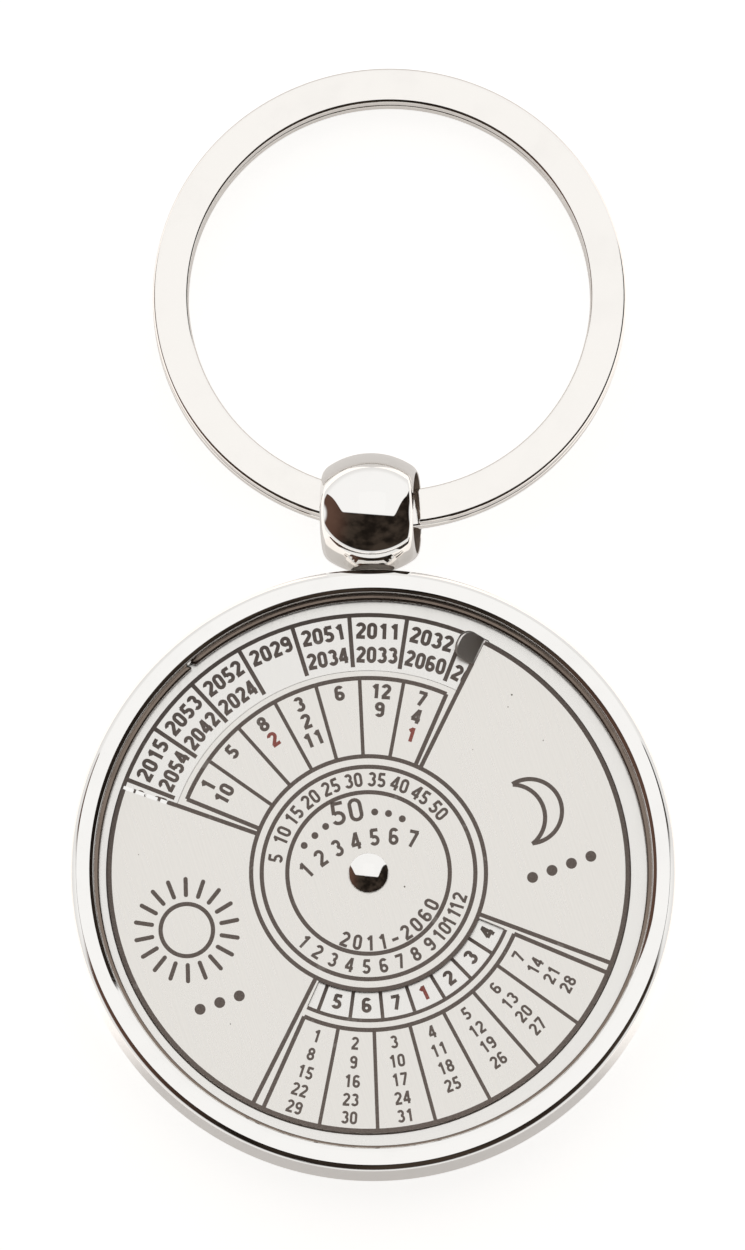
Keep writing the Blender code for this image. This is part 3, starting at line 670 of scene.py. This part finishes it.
def make_rivet():
    """The rivet: a low head with a crowned top and a short wall, the shank and the tail."""
    rise = RIVET_TOP - RIVET_HEAD_BOTTOM - RIVET_HEAD_WALL
    dome = (RIVET_HEAD_RADIUS**2 + rise**2) / (2 * rise)
    bm = bmesh.new()
    top = bm.verts.new((0, 0, RIVET_TOP))
    dome_turn = math.asin(RIVET_HEAD_RADIUS / dome)
    dome_middle = (0, 0, RIVET_TOP - dome)
    edge = spun_end(bm, top, cent=dome_middle, axis=(0, 1, 0), angle=dome_turn, steps=DOME_STEPS)
    tail_top = RIVET_BOTTOM + RIVET_TAIL_THICKNESS
    places = [
        (RIVET_HEAD_RADIUS, RIVET_HEAD_BOTTOM),
        (RIVET_SHANK_RADIUS, RIVET_HEAD_BOTTOM),
        (RIVET_SHANK_RADIUS, tail_top),
        (RIVET_TAIL_RADIUS, tail_top),
        (RIVET_TAIL_RADIUS, RIVET_BOTTOM),
        (0, RIVET_BOTTOM),
    ]
    verts = [edge] + [bm.verts.new((x, 0, z)) for x, z in places]
    for pair in zip(verts, verts[1:]):
        bm.edges.new(pair)
    round_corners(bm, verts[:2], [RIVET_EDGE_ROUND, RIVET_EDGE_ROUND / 2])
    turn_round(bm, RIVET_STEPS)
    bmesh.ops.translate(bm, verts=bm.verts, vec=(DIAL_X, 0, 0))
    finished(bm, "dome_rivet", "case", [CHROME], ["centre_rivet"])


# Swivel and ring

def make_pin():
    inner_end = POCKET_RADIUS
    outer_start = COUNTERBORE_Y + FIT_GAP
    outer_end = outer_start + PIN_OUTER_HEAD
    corners = [
        (0, outer_end, 0),
        (PIN_HEAD_RADIUS, outer_end, PIN_DOME),
        (PIN_HEAD_RADIUS, outer_start, 0),
        (PIN_RADIUS, outer_start, 0),
        (PIN_RADIUS, inner_end + PIN_INNER_HEAD, 0),
        (PIN_HEAD_RADIUS, inner_end + PIN_INNER_HEAD, 0),
        (PIN_HEAD_RADIUS, inner_end, 0),
        (0, inner_end, 0),
    ]
    bm = turned(corners, PIN_STEPS)
    place = Matrix.Translation((0, 0, PIN_HEIGHT)) @ Matrix.Rotation(-QUARTER_TURN, 4, "X")
    bmesh.ops.transform(bm, matrix=place, verts=bm.verts)
    finished(bm, "pin", "case", [NICKEL], ["swivel_pin"])


def make_bead():
    """The round bead, turned round its bore and laid across the pin."""
    middle = BEAD_RADIUS - BEAD_CROWN
    inner = BEAD_CROWN - BEAD_END_ROUND
    end_radius = middle + inner * math.cos(BEAD_CROWN_TURN)
    end_place = inner * math.sin(BEAD_CROWN_TURN)
    mouth_turn = math.acos((BORE_RADIUS + BORE_EDGE_ROUND - end_radius) / BEAD_END_ROUND)
    round_turn = mouth_turn - BEAD_CROWN_TURN
    mouth = BEAD_END_ROUND * Vector((math.cos(mouth_turn), 0, math.sin(mouth_turn)))
    bm = bmesh.new()
    first = bm.verts.new(mouth + Vector((end_radius, 0, end_place)))
    runs = (
        (end_radius, end_place, round_turn, BEAD_END_STEPS),
        (middle, 0, 2 * BEAD_CROWN_TURN, BEAD_CROWN_STEPS),
        (end_radius, -end_place, round_turn, BEAD_END_STEPS),
    )
    last = first
    for x, z, angle, steps in runs:
        last = spun_end(bm, last, cent=(x, 0, z), axis=(0, 1, 0), angle=angle, steps=steps)
    half = first.co.z
    bore_top = bm.verts.new((BORE_RADIUS, 0, half - BORE_EDGE_ROUND))
    bore_bottom = bm.verts.new((BORE_RADIUS, 0, BORE_EDGE_ROUND - half))
    for pair in ((last, bore_bottom), (bore_bottom, bore_top), (bore_top, first)):
        bm.edges.new(pair)
    turn_round(bm, BEAD_STEPS)
    for face in bm.faces:
        if face.calc_center_median().xy.length < BORE_RADIUS:
            face.material_index = 1
    place = Matrix.Rotation(QUARTER_TURN - BEAD_YAW, 4, "Y")
    place = Matrix.Translation((BEAD_SHIFT, BEAD_Y, PIN_HEIGHT)) @ place
    bmesh.ops.transform(bm, matrix=place, verts=bm.verts)
    cutters = [
        rod(PIN_RADIUS + PIN_PLAY, SEAT_Y, BEAD_Y),
        rod(PIN_HEAD_RADIUS + FIT_GAP, COUNTERBORE_Y, BEAD_Y),
    ]
    finished(bm, "barrel_bead", "swivel_bead", [BEAD_CHROME, BORE_METAL], ["bead"], cutters)


def make_split_ring():
    """The flat wire wound twice: front coil, step down inside the bead, back coil."""
    middle = RING_RADIUS - WIRE_WIDTH / 2
    front = COIL_GAP / 2
    start = CROSSING_FROM + CROSSING_TURN + END_CLEARANCE
    corners = box_section(RING_RADIUS - WIRE_WIDTH, RING_RADIUS, front, front + WIRE_THICKNESS)
    coil_turn = FULL_TURN - CROSSING_TURN - END_CLEARANCE
    pitch = WIRE_THICKNESS + COIL_GAP
    coil = dict(ABOUT_Z, angle=coil_turn, steps=COIL_STEPS)
    runs = [coil]
    done = 0
    for step in range(1, CROSSING_STEPS + 1):
        share = step / CROSSING_STEPS
        level = share * share * (3 - 2 * share)
        down = (0, 0, (done - level) * pitch)
        runs.append(dict(ABOUT_Z, angle=CROSSING_TURN / CROSSING_STEPS, steps=1, dvec=down))
        done = level
    runs.append(coil)
    bm = bmesh.new()
    swept(bm, corners, runs, WIRE_EDGE_ROUND)
    soften(bm, WIRE_END_ROUND, segments=2)
    spin = Matrix.Rotation(start, 4, "Z")
    place = Matrix.Translation((0, BEAD_Y, PIN_HEIGHT)) @ Matrix.Rotation(-RING_DROOP, 4, "X")
    place = place @ Matrix.Translation((RING_OFFSET, middle + RING_LIFT, 0)) @ spin
    bmesh.ops.transform(bm, matrix=place, verts=bm.verts)
    finished(bm, "flat_ring", "key_ring", [NICKEL], ["split_ring"])


# Print

def polar(radius, angle):
    return Vector((radius * math.cos(angle), radius * math.sin(angle), 0))


def mark_arc(
    bm, radius, start, end, top, width=LINE_WIDTH, centre=(0, 0), depth=PRINT_DEPTH, step=ARC_STEP
):
    """A printed arc as a thin slab, in steps of one angle. From zero to a full turn it closes."""
    shift = Vector((centre[0], centre[1], 0))
    steps = max(1, round(abs(end - start) / step))
    turn = Matrix.Rotation(start, 3, "Z")
    section = box_section(radius - width / 2, radius + width / 2, top - depth, top)
    corners = [turn @ corner + shift for corner in section]
    run = dict(cent=shift, axis=(0, 0, 1), angle=end - start, steps=steps)
    if not math.isclose(abs(end - start), FULL_TURN):
        swept(bm, corners, [run])
        return
    verts = [bm.verts.new(corner) for corner in corners]
    edges = [bm.edges.new(pair) for pair in zip(verts, verts[1:] + verts[:1])]
    bmesh.ops.spin(bm, geom=verts + edges, use_merge=True, **run)


def mark_bar(bm, start, end, top, width=LINE_WIDTH, depth=PRINT_DEPTH):
    """A printed straight line between two points."""
    start, end = Vector(start).to_2d(), Vector(end).to_2d()
    along, middle = end - start, (start + end) / 2
    place = Matrix.Translation((middle.x, middle.y, top - depth / 2))
    place = place @ Matrix.Rotation(math.atan2(along.y, along.x), 4, "Z")
    place = place @ Matrix.Diagonal((along.length, width, depth, 1))
    bmesh.ops.create_cube(bm, size=1, matrix=place)


def mark_spoke(bm, angle, reach, top, width=LINE_WIDTH):
    """A printed line along a radius, from one distance to another."""
    inner, outer = reach
    mark_bar(bm, polar(inner, angle), polar(outer, angle), top, width)


def mark_dot(bm, centre, radius, top, segments=16):
    """A printed round dot."""
    place = Matrix.Translation((centre[0], centre[1], top - PRINT_DEPTH / 2))
    add_cylinder(bm, radius, PRINT_DEPTH, place, segments)


def mark_ray(bm, start, end, top, width):
    """A line with round ends."""
    mark_bar(bm, start, end, top, width)
    for place in (start, end):
        mark_dot(bm, place, width / 2, top - STEP_DOWN)


# Plain digits of one pen, in a box 0.58 wide and 1 high: straight strokes, and arcs in degrees
DIGIT_LINES = {
    "0": [((0.09, 0.29), (0.09, 0.71)), ((0.49, 0.29), (0.49, 0.71))],
    "1": [((0.36, 0), (0.36, 1)), ((0.37, 0.92), (0.13, 0.73))],
    "2": [((0.45, 0.57), (0.08, 0.12)), ((0.01, 0.09), (0.56, 0.09))],
    "3": [],
    "4": [((0.42, 0), (0.42, 1)), ((0, 0.28), (0.58, 0.28)), ((0.4, 0.96), (0.05, 0.28))],
    "5": [((0.11, 0.91), (0.53, 0.91)), ((0.15, 0.95), (0.12, 0.47))],
    "6": [((0.09, 0.3), (0.09, 0.71))],
    "7": [((0.02, 0.91), (0.57, 0.91)), ((0.5, 0.9), (0.2, 0))],
    "8": [],
    "9": [((0.49, 0.29), (0.49, 0.7))],
    "-": [((0.06, 0.42), (0.52, 0.42))],
}
DIGIT_ARCS = {
    "0": [(0.29, 0.71, 0.2, 0, 180), (0.29, 0.29, 0.2, 180, 360)],
    "2": [(0.285, 0.7, 0.21, 165, -38)],
    "3": [(0.28, 0.72, 0.19, 155, -90), (0.28, 0.31, 0.22, 90, -155)],
    "5": [(0.27, 0.31, 0.22, 132, -150)],
    "6": [(0.29, 0.3, 0.21, 0, 360), (0.29, 0.71, 0.2, 180, 30)],
    "8": [(0.29, 0.72, 0.19, 0, 360), (0.29, 0.305, 0.215, 0, 360)],
    "9": [(0.29, 0.7, 0.21, 0, 360), (0.29, 0.29, 0.2, 0, -150)],
}
DIGIT_WIDTH = 0.58
ADVANCE = 0.7
BOLD = 0.24
PLAIN = 0.2
SLIM = 0.15
NARROW = 0.95
WIDE = 1.05
STROKE_DROP = 0.08  # of the print's depth, by which each stroke of a digit lies lower than the last
DIGIT_WELD = 0.0001
DIGIT_ARC_STEP = math.radians(20)
digit_shapes = {}


def digit_shape(digit, pen):
    """The mesh of one digit, one deep and with its top at zero, made once for each pen."""
    if (digit, pen) not in digit_shapes:
        bm = bmesh.new()
        for order, (start, end) in enumerate(DIGIT_LINES[digit]):
            mark_bar(bm, start, end, -STROKE_DROP * order, pen, 1)
        for order, (x, y, radius, start, end) in enumerate(DIGIT_ARCS.get(digit, [])):
            turn = math.radians(start), math.radians(end)
            top = -STROKE_DROP * (order + 0.5)
            mark_arc(bm, radius, *turn, top, pen, (x, y), 1, DIGIT_ARC_STEP)
        bmesh.ops.remove_doubles(bm, verts=bm.verts, dist=DIGIT_WELD)
        bmesh.ops.recalc_face_normals(bm, faces=bm.faces)
        digit_shapes[digit, pen] = mesh_from(bm, "digit")
    return digit_shapes[digit, pen]


def mark_number(bm, text, height, centre, turn, top, pen=PLAIN, breadth=NARROW):
    """A number centred on a point."""
    place = Matrix.Translation((centre[0], centre[1], top)) @ Matrix.Rotation(turn, 4, "Z")
    place = place @ Matrix.Diagonal((height * breadth, height, PRINT_DEPTH, 1))
    left = -ADVANCE * (len(text) - 1) / 2 - DIGIT_WIDTH / 2
    for index, digit in enumerate(text):
        mesh = digit_shape(digit, pen).copy()
        mesh.transform(place @ Matrix.Translation((left + ADVANCE * index, -0.5, 0)))
        bm.from_mesh(mesh)
        bpy.data.meshes.remove(mesh)


def finish_print(bm, name, body, material):
    """Moves marks made round the origin to the dial's middle, as a piece of their own."""
    bmesh.ops.translate(bm, verts=bm.verts, vec=(DIAL_X, 0, 0))
    finished(bm, name, body, [material])


YEARS = range(2011, 2061)
# Cells seen in the window, counted from the divider near the top
YEARS_SHOWN = {
    4: (2015, 2054),
    3: (2053, 2042),
    2: (2052, 2024),
    1: (2029,),
    0: (2051, 2034),
    -1: (2011, 2033),
    -2: (2032, 2060),
    -3: (2020, 2026),
}
# Each row of years: its radius, and how broad its digits are
YEAR_ROWS = ((15.95 * MM, 1.02), (14.38 * MM, 0.96))
YEAR_HEIGHT = 1.03 * MM
DISC_OUTLINE = 17.0 * MM
YEAR_LINES = (13.6 * MM, 16.95 * MM)
DAY_LINES = (7.6 * MM, 9.8 * MM)
FIRST_DIVIDER = math.radians(94.3)
SUNDAY_AT = math.radians(294.9)
DAY_ROW = 8.62 * MM
DAY_HEIGHT = 0.95 * MM


def print_year_disc():
    """Years and weekday numbers, each in 28 cells all round the fixed disc."""
    top = YEAR_DISC_TOP + PRINT_PROUD
    dark, red = bmesh.new(), bmesh.new()
    mark_arc(dark, DISC_OUTLINE, 0, FULL_TURN, top)
    seen = {year for years in YEARS_SHOWN.values() for year in years}
    rest = [[] for _ in range(7)]
    for year in YEARS:
        if year not in seen:
            rest[(year + year // 4 - 1) % 7].append(year)  # years of one calendar share a cell
    for cell in range(-14, 14):
        divider = FIRST_DIVIDER + cell * CELL
        mark_spoke(dark, divider, YEAR_LINES, top - STEP_DOWN)
        years = YEARS_SHOWN.get(cell)
        if years is None:
            left = rest[cell % 7]
            years, rest[cell % 7] = left[:2], left[2:]
        middle = divider + CELL / 2
        for year, (radius, breadth) in zip(years, YEAR_ROWS):
            place = polar(radius, middle)
            mark_number(dark, str(year), YEAR_HEIGHT, place, middle - QUARTER_TURN, top, BOLD, breadth)
        day = cell % 7
        middle = SUNDAY_AT + cell * CELL
        number = red if day == 0 else dark
        turn = middle + QUARTER_TURN
        mark_number(number, str(day + 1), DAY_HEIGHT, polar(DAY_ROW, middle), turn, top, BOLD, WIDE)
        mark_spoke(dark, middle + CELL / 2, DAY_LINES, top, FINE_LINE)
    finish_print(dark, "year_print", "case", INK)
    finish_print(red, "sunday_print", "case", RED_INK)


# Straight lines on the plate: angle in degrees, and the radii in millimetres between which they run
PLATE_LINES = (
    (63.9, 7.7, 16.9),
    (66.6, 7.7, 12.8),
    (157.8, 7.7, 12.8),
    (160.5, 7.7, 13.9),
    (246.0, 10.3, 16.9),
    (337.2, 10.3, 16.9),
    (243.5, 7.7, 16.9),
    (339.5, 7.7, 16.9),
)
# Specks of dirt on the plate, in millimetres: place and radius
SPECKS = (
    (9.35, 11.7, 0.06),
    (9.1, 10.9, 0.04),
    (11.4, 8.7, 0.04),
    (6.8, 8.1, 0.03),
    (11.6, 4.1, 0.03),
    (2.35, -0.9, 0.06),
    (-9.0, -9.9, 0.04),
    (-15.0, 1.2, 0.03),
)
MIDDLE_CIRCLES = (7.66 * MM, 6.97 * MM, 5.3 * MM)
PLATE_OUTLINE = 16.9 * MM
MONTHS_OUTLINE = 12.8 * MM
DATES_OUTLINE = 10.3 * MM
DAYS_OUTLINE = 9.68 * MM
MONTH_LINES = (7.7 * MM, 12.75 * MM)
DATE_LINES = (10.35 * MM, 16.85 * MM)
DATES_FROM = math.radians(246.0)
DATES_TO = math.radians(337.2)
DATE_ROWS = (11.2 * MM, 12.45 * MM, 13.68 * MM, 14.9 * MM, 16.08 * MM)
DATE_HEIGHT = 0.84 * MM
MONTHS_FROM = math.radians(157.8)
MONTHS_TO = math.radians(66.6)
MONTH_ROWS = (11.95 * MM, 10.75 * MM, 9.5 * MM)
MONTH_HEIGHT = 0.95 * MM
# Months that start on the same weekday. The ones in red hold for leap years.
MONTH_CELLS = (
    (("1", "10"), ()),
    (("5",), ()),
    (("8", "2"), ("2",)),
    (("3", "2", "11"), ()),
    (("6",), ()),
    (("12", "9"), ()),
    (("7", "4", "1"), ("1",)),
)


def print_plate():
    """Everything etched on the calendar plate."""
    top = PLATE_TOP + PRINT_PROUD
    dark, red = bmesh.new(), bmesh.new()
    for radius in MIDDLE_CIRCLES:
        mark_arc(dark, radius, 0, FULL_TURN, top)
    mark_arc(dark, PLATE_OUTLINE, YEAR_WINDOW_TO, YEAR_WINDOW_FROM + FULL_TURN, top)
    for angle, inner, outer in PLATE_LINES:
        mark_spoke(dark, math.radians(angle), (inner * MM, outer * MM), top - STEP_DOWN)
    mark_arc(dark, MONTHS_OUTLINE, MONTHS_TO, MONTHS_FROM, top)
    mark_arc(dark, DATES_OUTLINE, DATES_FROM, DATES_TO, top)
    mark_arc(dark, DAYS_OUTLINE, DAY_WINDOW_FROM, DAY_WINDOW_TO, top, FINE_LINE)
    print_months(dark, red, top)
    print_dates(dark, top)
    print_sun_and_moon(dark, top)
    print_middle(dark, top)
    for x, y, radius in SPECKS:
        mark_dot(dark, (x * MM, y * MM), radius * MM, top, 8)
    finish_print(dark, "plate_print", "dial", INK)
    finish_print(red, "leap_print", "dial", RED_INK)


# Painted highlights: chrome spots beside the year window that stand for the glint along the plate's cut
# edge, radii in millimetres
EDGE_GLINT_SPOTS = ((13.95, 14.4), (14.6, 15.35), (15.5, 16.1), (16.25, 16.95))
EDGE_GLINT_AT = math.radians(160.7)


def make_bare_edge():
    """Painted highlights: bright chrome spots along the edge of the year window."""
    bm = bmesh.new()
    for inner, outer in EDGE_GLINT_SPOTS:
        mark_spoke(bm, EDGE_GLINT_AT, (inner * MM, outer * MM), PLATE_TOP + PRINT_PROUD, FINE_LINE)
    finish_print(bm, "edge_glints", "dial", CHROME)


def mark_columns(bm, start, end, reach, top):
    """Draws the lines between seven columns. Gives the angle of each column's middle in turn."""
    step = (end - start) / 7
    for column in range(7):
        edge = start + column * step
        if column:
            mark_spoke(bm, edge, reach, top - STEP_DOWN, FINE_LINE)
        yield edge + step / 2


def print_months(dark, red, top):
    """The month numbers under the year window."""
    middles = mark_columns(dark, MONTHS_FROM, MONTHS_TO, MONTH_LINES, top)
    for (months, reds), middle in zip(MONTH_CELLS, middles):
        for month, radius in zip(months, MONTH_ROWS):
            number = red if month in reds else dark
            place = polar(radius, middle)
            mark_number(number, month, MONTH_HEIGHT, place, middle - QUARTER_TURN, top, BOLD, WIDE)


def print_dates(dark, top):
    """The days of the month in seven columns."""
    middles = mark_columns(dark, DATES_FROM, DATES_TO, DATE_LINES, top)
    for column, middle in enumerate(middles):
        turn = middle + QUARTER_TURN
        for date, radius in zip(range(column + 1, 32, 7), DATE_ROWS):
            mark_number(dark, str(date), DATE_HEIGHT, polar(radius, middle), turn, top)


SUN_CENTRE = Vector((-11.85 * MM, -3.75 * MM, 0))
SUN_RADIUS = 1.71 * MM
RAY_REACH = (2.3 * MM, 3.35 * MM)
RAYS = 18
FIRST_RAY = math.radians(11.5)
# Each edge of the crescent: centre, radius, and the angles between which it runs
CRESCENT = (
    ((10.51 * MM, 4.05 * MM), 2.11 * MM, math.radians(-85.2), math.radians(122.4)),
    ((9.34 * MM, 3.62 * MM), 2.18 * MM, math.radians(-51.9), math.radians(88.4)),
)
# Rows of dots under the sun and the moon: middle, lean and number of dots
DOT_ROWS = (
    ((-9.7 * MM, -8.5 * MM), math.radians(19), 3),
    ((12.6 * MM, 0.4 * MM), math.radians(20), 4),
)
DOT_RADIUS = 0.36 * MM
DOT_STEP = 1.35 * MM


def print_sun_and_moon(dark, top):
    """The sun, the crescent, and a row of dots under each."""
    mark_arc(dark, SUN_RADIUS, 0, FULL_TURN, top, FIGURE_LINE, SUN_CENTRE)
    for ray in range(RAYS):
        angle = FIRST_RAY + ray * FULL_TURN / RAYS
        inner, outer = (SUN_CENTRE + polar(radius, angle) for radius in RAY_REACH)
        mark_ray(dark, inner, outer, top, FIGURE_LINE)
    for order, (centre, radius, start, end) in enumerate(CRESCENT):
        mark_arc(dark, radius, start, end, top - order * STEP_DOWN, FIGURE_LINE, centre)
    for middle, lean, count in DOT_ROWS:
        for index in range(count):
            along = polar(DOT_STEP * (index - (count - 1) / 2), lean)
            mark_dot(dark, Vector((*middle, 0)) + along, DOT_RADIUS, top, 24)


# Rings of plain numbers: the numbers, their radius and height, the angle of the first and of the
# last in degrees, and whether their feet point to the middle
NUMBER_RINGS = (
    (range(5, 55, 5), 6.14 * MM, 0.95 * MM, 171, 42, True),
    (range(1, 13), 6.14 * MM, 0.95 * MM, 227, 342, False),
    ("2011-2060", 4.6 * MM, 1.0 * MM, 250.7, 333.3, False),
)
FIFTY_AT = (-1.43 * MM, 4.02 * MM)
FIFTY_LEAN = math.radians(12)
FIFTY_HEIGHT = 1.6 * MM
# Dots beside the number in the middle, in millimetres
MIDDLE_DOTS = ((-4.2, 1.8), (-3.5, 2.45), (-2.8, 3.05), (0.4, 4.0), (1.3, 3.9), (2.2, 3.55))
MIDDLE_DOT_RADIUS = 0.23 * MM
# The row of seven numbers over the rivet stands on an arc of its own
WEEK_ARC_CENTRE = Vector((1.33 * MM, -5.25 * MM, 0))
WEEK_ARC_RADIUS = 7.66 * MM
WEEK_ARC_FROM = math.radians(135)
WEEK_ARC_TO = math.radians(78.2)
WEEK_HEIGHT = 1.12 * MM


def print_middle(dark, top):
    """The numbers round the rivet."""
    for numbers, radius, height, first, last, feet_in in NUMBER_RINGS:
        for index, number in enumerate(numbers):
            angle = math.radians(first + (last - first) * index / (len(numbers) - 1))
            turn = angle - QUARTER_TURN if feet_in else angle + QUARTER_TURN
            mark_number(dark, str(number), height, polar(radius, angle), turn, top)
    mark_number(dark, "50", FIFTY_HEIGHT, FIFTY_AT, FIFTY_LEAN, top, SLIM, WIDE)
    for x, y in MIDDLE_DOTS:
        mark_dot(dark, (x * MM, y * MM), MIDDLE_DOT_RADIUS, top)
    for index in range(7):
        angle = WEEK_ARC_FROM + (WEEK_ARC_TO - WEEK_ARC_FROM) * index / 6
        place = WEEK_ARC_CENTRE + polar(WEEK_ARC_RADIUS, angle)
        mark_number(dark, str(index + 1), WEEK_HEIGHT, place, angle - QUARTER_TURN, top)


# Pieces kept from the CAD model

def dress_hidden_pieces():
    """The two washers inside the case keep their CAD meshes."""
    for name in ("spring_washer", "rivet_washer"):
        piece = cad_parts[name]
        piece.data.materials.clear()
        piece.data.materials.append(SPRING_STEEL)


# Studio

FLOOR_EDGE_Y = -19.7 * MM  # where the case's lower edge rests
FLOOR_DROP = 0.01 * MM
FLOOR_TILT = math.atan2(1.46 * MM, 43.4 * MM)
# How bright the floor's glow is, which is painted light: in reflections under the keychain, where it is
# kept dim as painted shade, and beside it, and to the camera
FLOOR_GLOW_SHADED = 0.46
FLOOR_GLOW_BESIDE = 0.95
FLOOR_GLOW_SEEN = 0.85
# How far out from the middle the reflected glow changes from the first to the second
BESIDE = (14.5 * MM, 18.5 * MM)
FLOOR_TONES = ((0.36, 0.355, 0.35, 1), (0.38, 0.375, 0.37, 1))
# Tone of the painted glow: warmer in reflections, whiter to the camera
GLOW_TONES = ((1, 0.95, 0.905, 1), (1, 0.99, 0.975, 1))
# The room's dark side: its lean, its shift to one side, and how far up its middle and flanks reach
ROOM_LEAN = math.radians(8)
DARK_SIDE_SHIFT = 0.09
DARK_SIDE_LEAN = 0.1
FLANK_SHARE = 0.62
WARM_SHARE = 0.8
# Where each fade in the room starts and ends, as the part of a direction that points along its axis
FLANK = (0.62, 0.88)
DARK_EDGE = (-0.03, 0.0)
HORIZON = (0.08, 0.12)
ROOM_END = (0.955, 0.985)
WARM_END = (-0.95, -0.5)
TENT_RISE = (0.02, 0.2)
ROOM_DARK = (0.012, 0.009, 0.007, 1)
ROOM_LIGHT = (0.05, 0.037, 0.028, 1)
ROOM_WARM = (0.13, 0.07, 0.05, 1)
TENT_LOW = (0.86, 0.85, 0.835, 1)
TENT_HIGH = (1.0, 0.995, 0.985, 1)
BACKDROP = (0.93, 0.93, 0.93, 1)


def make_floor():
    """A pale table whose glow is painted light, kept dim in reflections under the keychain as painted
    shade. It passes under the case's lower edge, the bead and the ring's far side.
    """
    bm = bmesh.new()
    bmesh.ops.create_grid(bm, x_segments=8, y_segments=8, size=1.0)
    lean = Matrix.Translation((0, FLOOR_EDGE_Y, -FLOOR_DROP)) @ Matrix.Rotation(-FLOOR_TILT, 4, "X")
    bmesh.ops.transform(bm, matrix=lean, verts=bm.verts)
    mesh = mesh_from(bm, "floor")
    material, tree, shader = new_material("pale_floor")
    place = node(tree, "TexCoord").outputs["Object"]
    cloud = noise(tree, place, 30.0, 2.0)
    tone = blend_color(tree, cloud, *FLOOR_TONES)
    feed(tree, tone, shader.inputs["Base Color"])
    shown = node(tree, "LightPath").outputs["Is Camera Ray"]
    glow_tone = blend_color(tree, shown, *GLOW_TONES)
    feed(tree, glow_tone, shader.inputs["Emission Color"])
    # Painted shade: the glow seen in reflections is dimmer under the keychain than beside it
    beside = maths(tree, "ABSOLUTE", node(tree, "SeparateXYZ", {"Vector": place}).outputs["X"])
    mirrored = ramp(tree, beside, *BESIDE, FLOOR_GLOW_SHADED, FLOOR_GLOW_BESIDE)
    more = maths(tree, "SUBTRACT", FLOOR_GLOW_SEEN, mirrored)
    glow = maths(tree, "MULTIPLY_ADD", shown, more, mirrored)
    feed(tree, glow, shader.inputs["Emission Strength"])
    shader.inputs["Roughness"].default_value = 0.6
    shader.inputs["Specular IOR Level"].default_value = 0.1
    mesh.materials.append(material)
    link(bpy.data.objects.new("floor", mesh))


def make_studio():
    """A white dome with one dark side, low behind the camera, as in a room with a light tent."""
    world = bpy.data.worlds.new("studio")
    bpy.context.scene.world = world
    world.use_nodes = True
    tree = world.node_tree
    tree.nodes.clear()
    direction = node(tree, "TexCoord").outputs["Generated"]

    def along(axis):
        made = node(tree, "VectorMath", operation="DOT_PRODUCT")
        feed(tree, direction, made.inputs[0])
        made.inputs[1].default_value = axis
        return made.outputs["Value"]

    across = maths(tree, "ABSOLUTE", maths(tree, "ADD", along((1, 0, 0)), DARK_SIDE_SHIFT))
    away = along((DARK_SIDE_LEAN, math.cos(ROOM_LEAN), math.sin(ROOM_LEAN)))
    height = along((0, 0, 1))
    flank = ramp(tree, across, *FLANK, 0.0, FLANK_SHARE)
    edge = maths(tree, "SUBTRACT", away, flank)
    side = ramp(tree, edge, *DARK_EDGE, 1.0, 0.0)
    above = ramp(tree, height, *HORIZON)
    within = ramp(tree, maths(tree, "ABSOLUTE", along((1, 0, 0))), *ROOM_END, 1.0, 0.0)
    dark = maths(tree, "MULTIPLY", maths(tree, "MULTIPLY", side, above), within)
    cloud = noise(tree, direction, 3.0, 3.0)
    room = blend_color(tree, ramp(tree, cloud, 0.35, 0.7), ROOM_DARK, ROOM_LIGHT)
    warm = ramp(tree, along((1, 0, 0)), *WARM_END, WARM_SHARE, 0.0)
    room = blend_color(tree, warm, room, ROOM_WARM)
    tent = blend_color(tree, ramp(tree, height, *TENT_RISE), TENT_LOW, TENT_HIGH)
    sky = blend_color(tree, dark, tent, room)
    shown = node(tree, "LightPath").outputs["Is Camera Ray"]
    sky = blend_color(tree, shown, sky, BACKDROP)
    back = node(tree, "Background", {"Color": sky, "Strength": 1.0})
    node(tree, "OutputWorld", {"Surface": back.outputs[0]})


LAMP_PLACE = Vector((0, 0.35, 1.2))
LAMP_TARGET = Vector((0, 0.017, 0))
LAMP_SIZE = 0.9
LAMP_POWER = 0.05


def add_lamp():
    light = bpy.data.lights.new("overhead", "AREA")
    light.size = LAMP_SIZE
    light.energy = LAMP_POWER
    lamp = link(bpy.data.objects.new("overhead", light))
    lamp.location = LAMP_PLACE
    lamp.rotation_euler = (LAMP_TARGET - LAMP_PLACE).to_track_quat("-Z", "Y").to_euler()


CAMERA_PLACE = (3.0 * MM, -161.5 * MM, 1500 * MM)
CAMERA_TURN = (0.1182, 0.0020, 0.0003)
CAMERA_LENS = 664.8


def make_camera():
    camera = bpy.data.cameras.new("camera")
    camera.lens = CAMERA_LENS
    camera.sensor_width = 36
    camera.clip_start = 0.01
    camera.clip_end = 10
    obj = link(bpy.data.objects.new("camera", camera))
    obj.location = CAMERA_PLACE
    obj.rotation_euler = CAMERA_TURN
    bpy.context.scene.camera = obj


make_case()
make_year_disc()
make_retaining_ring()
make_back_plate()
make_calendar_plate()
make_rivet()
make_pin()
make_bead()
make_split_ring()
print_year_disc()
print_plate()
make_bare_edge()
dress_hidden_pieces()
make_floor()
make_studio()
add_lamp()
make_camera()
bpy.context.scene.view_settings.view_transform = "Standard"
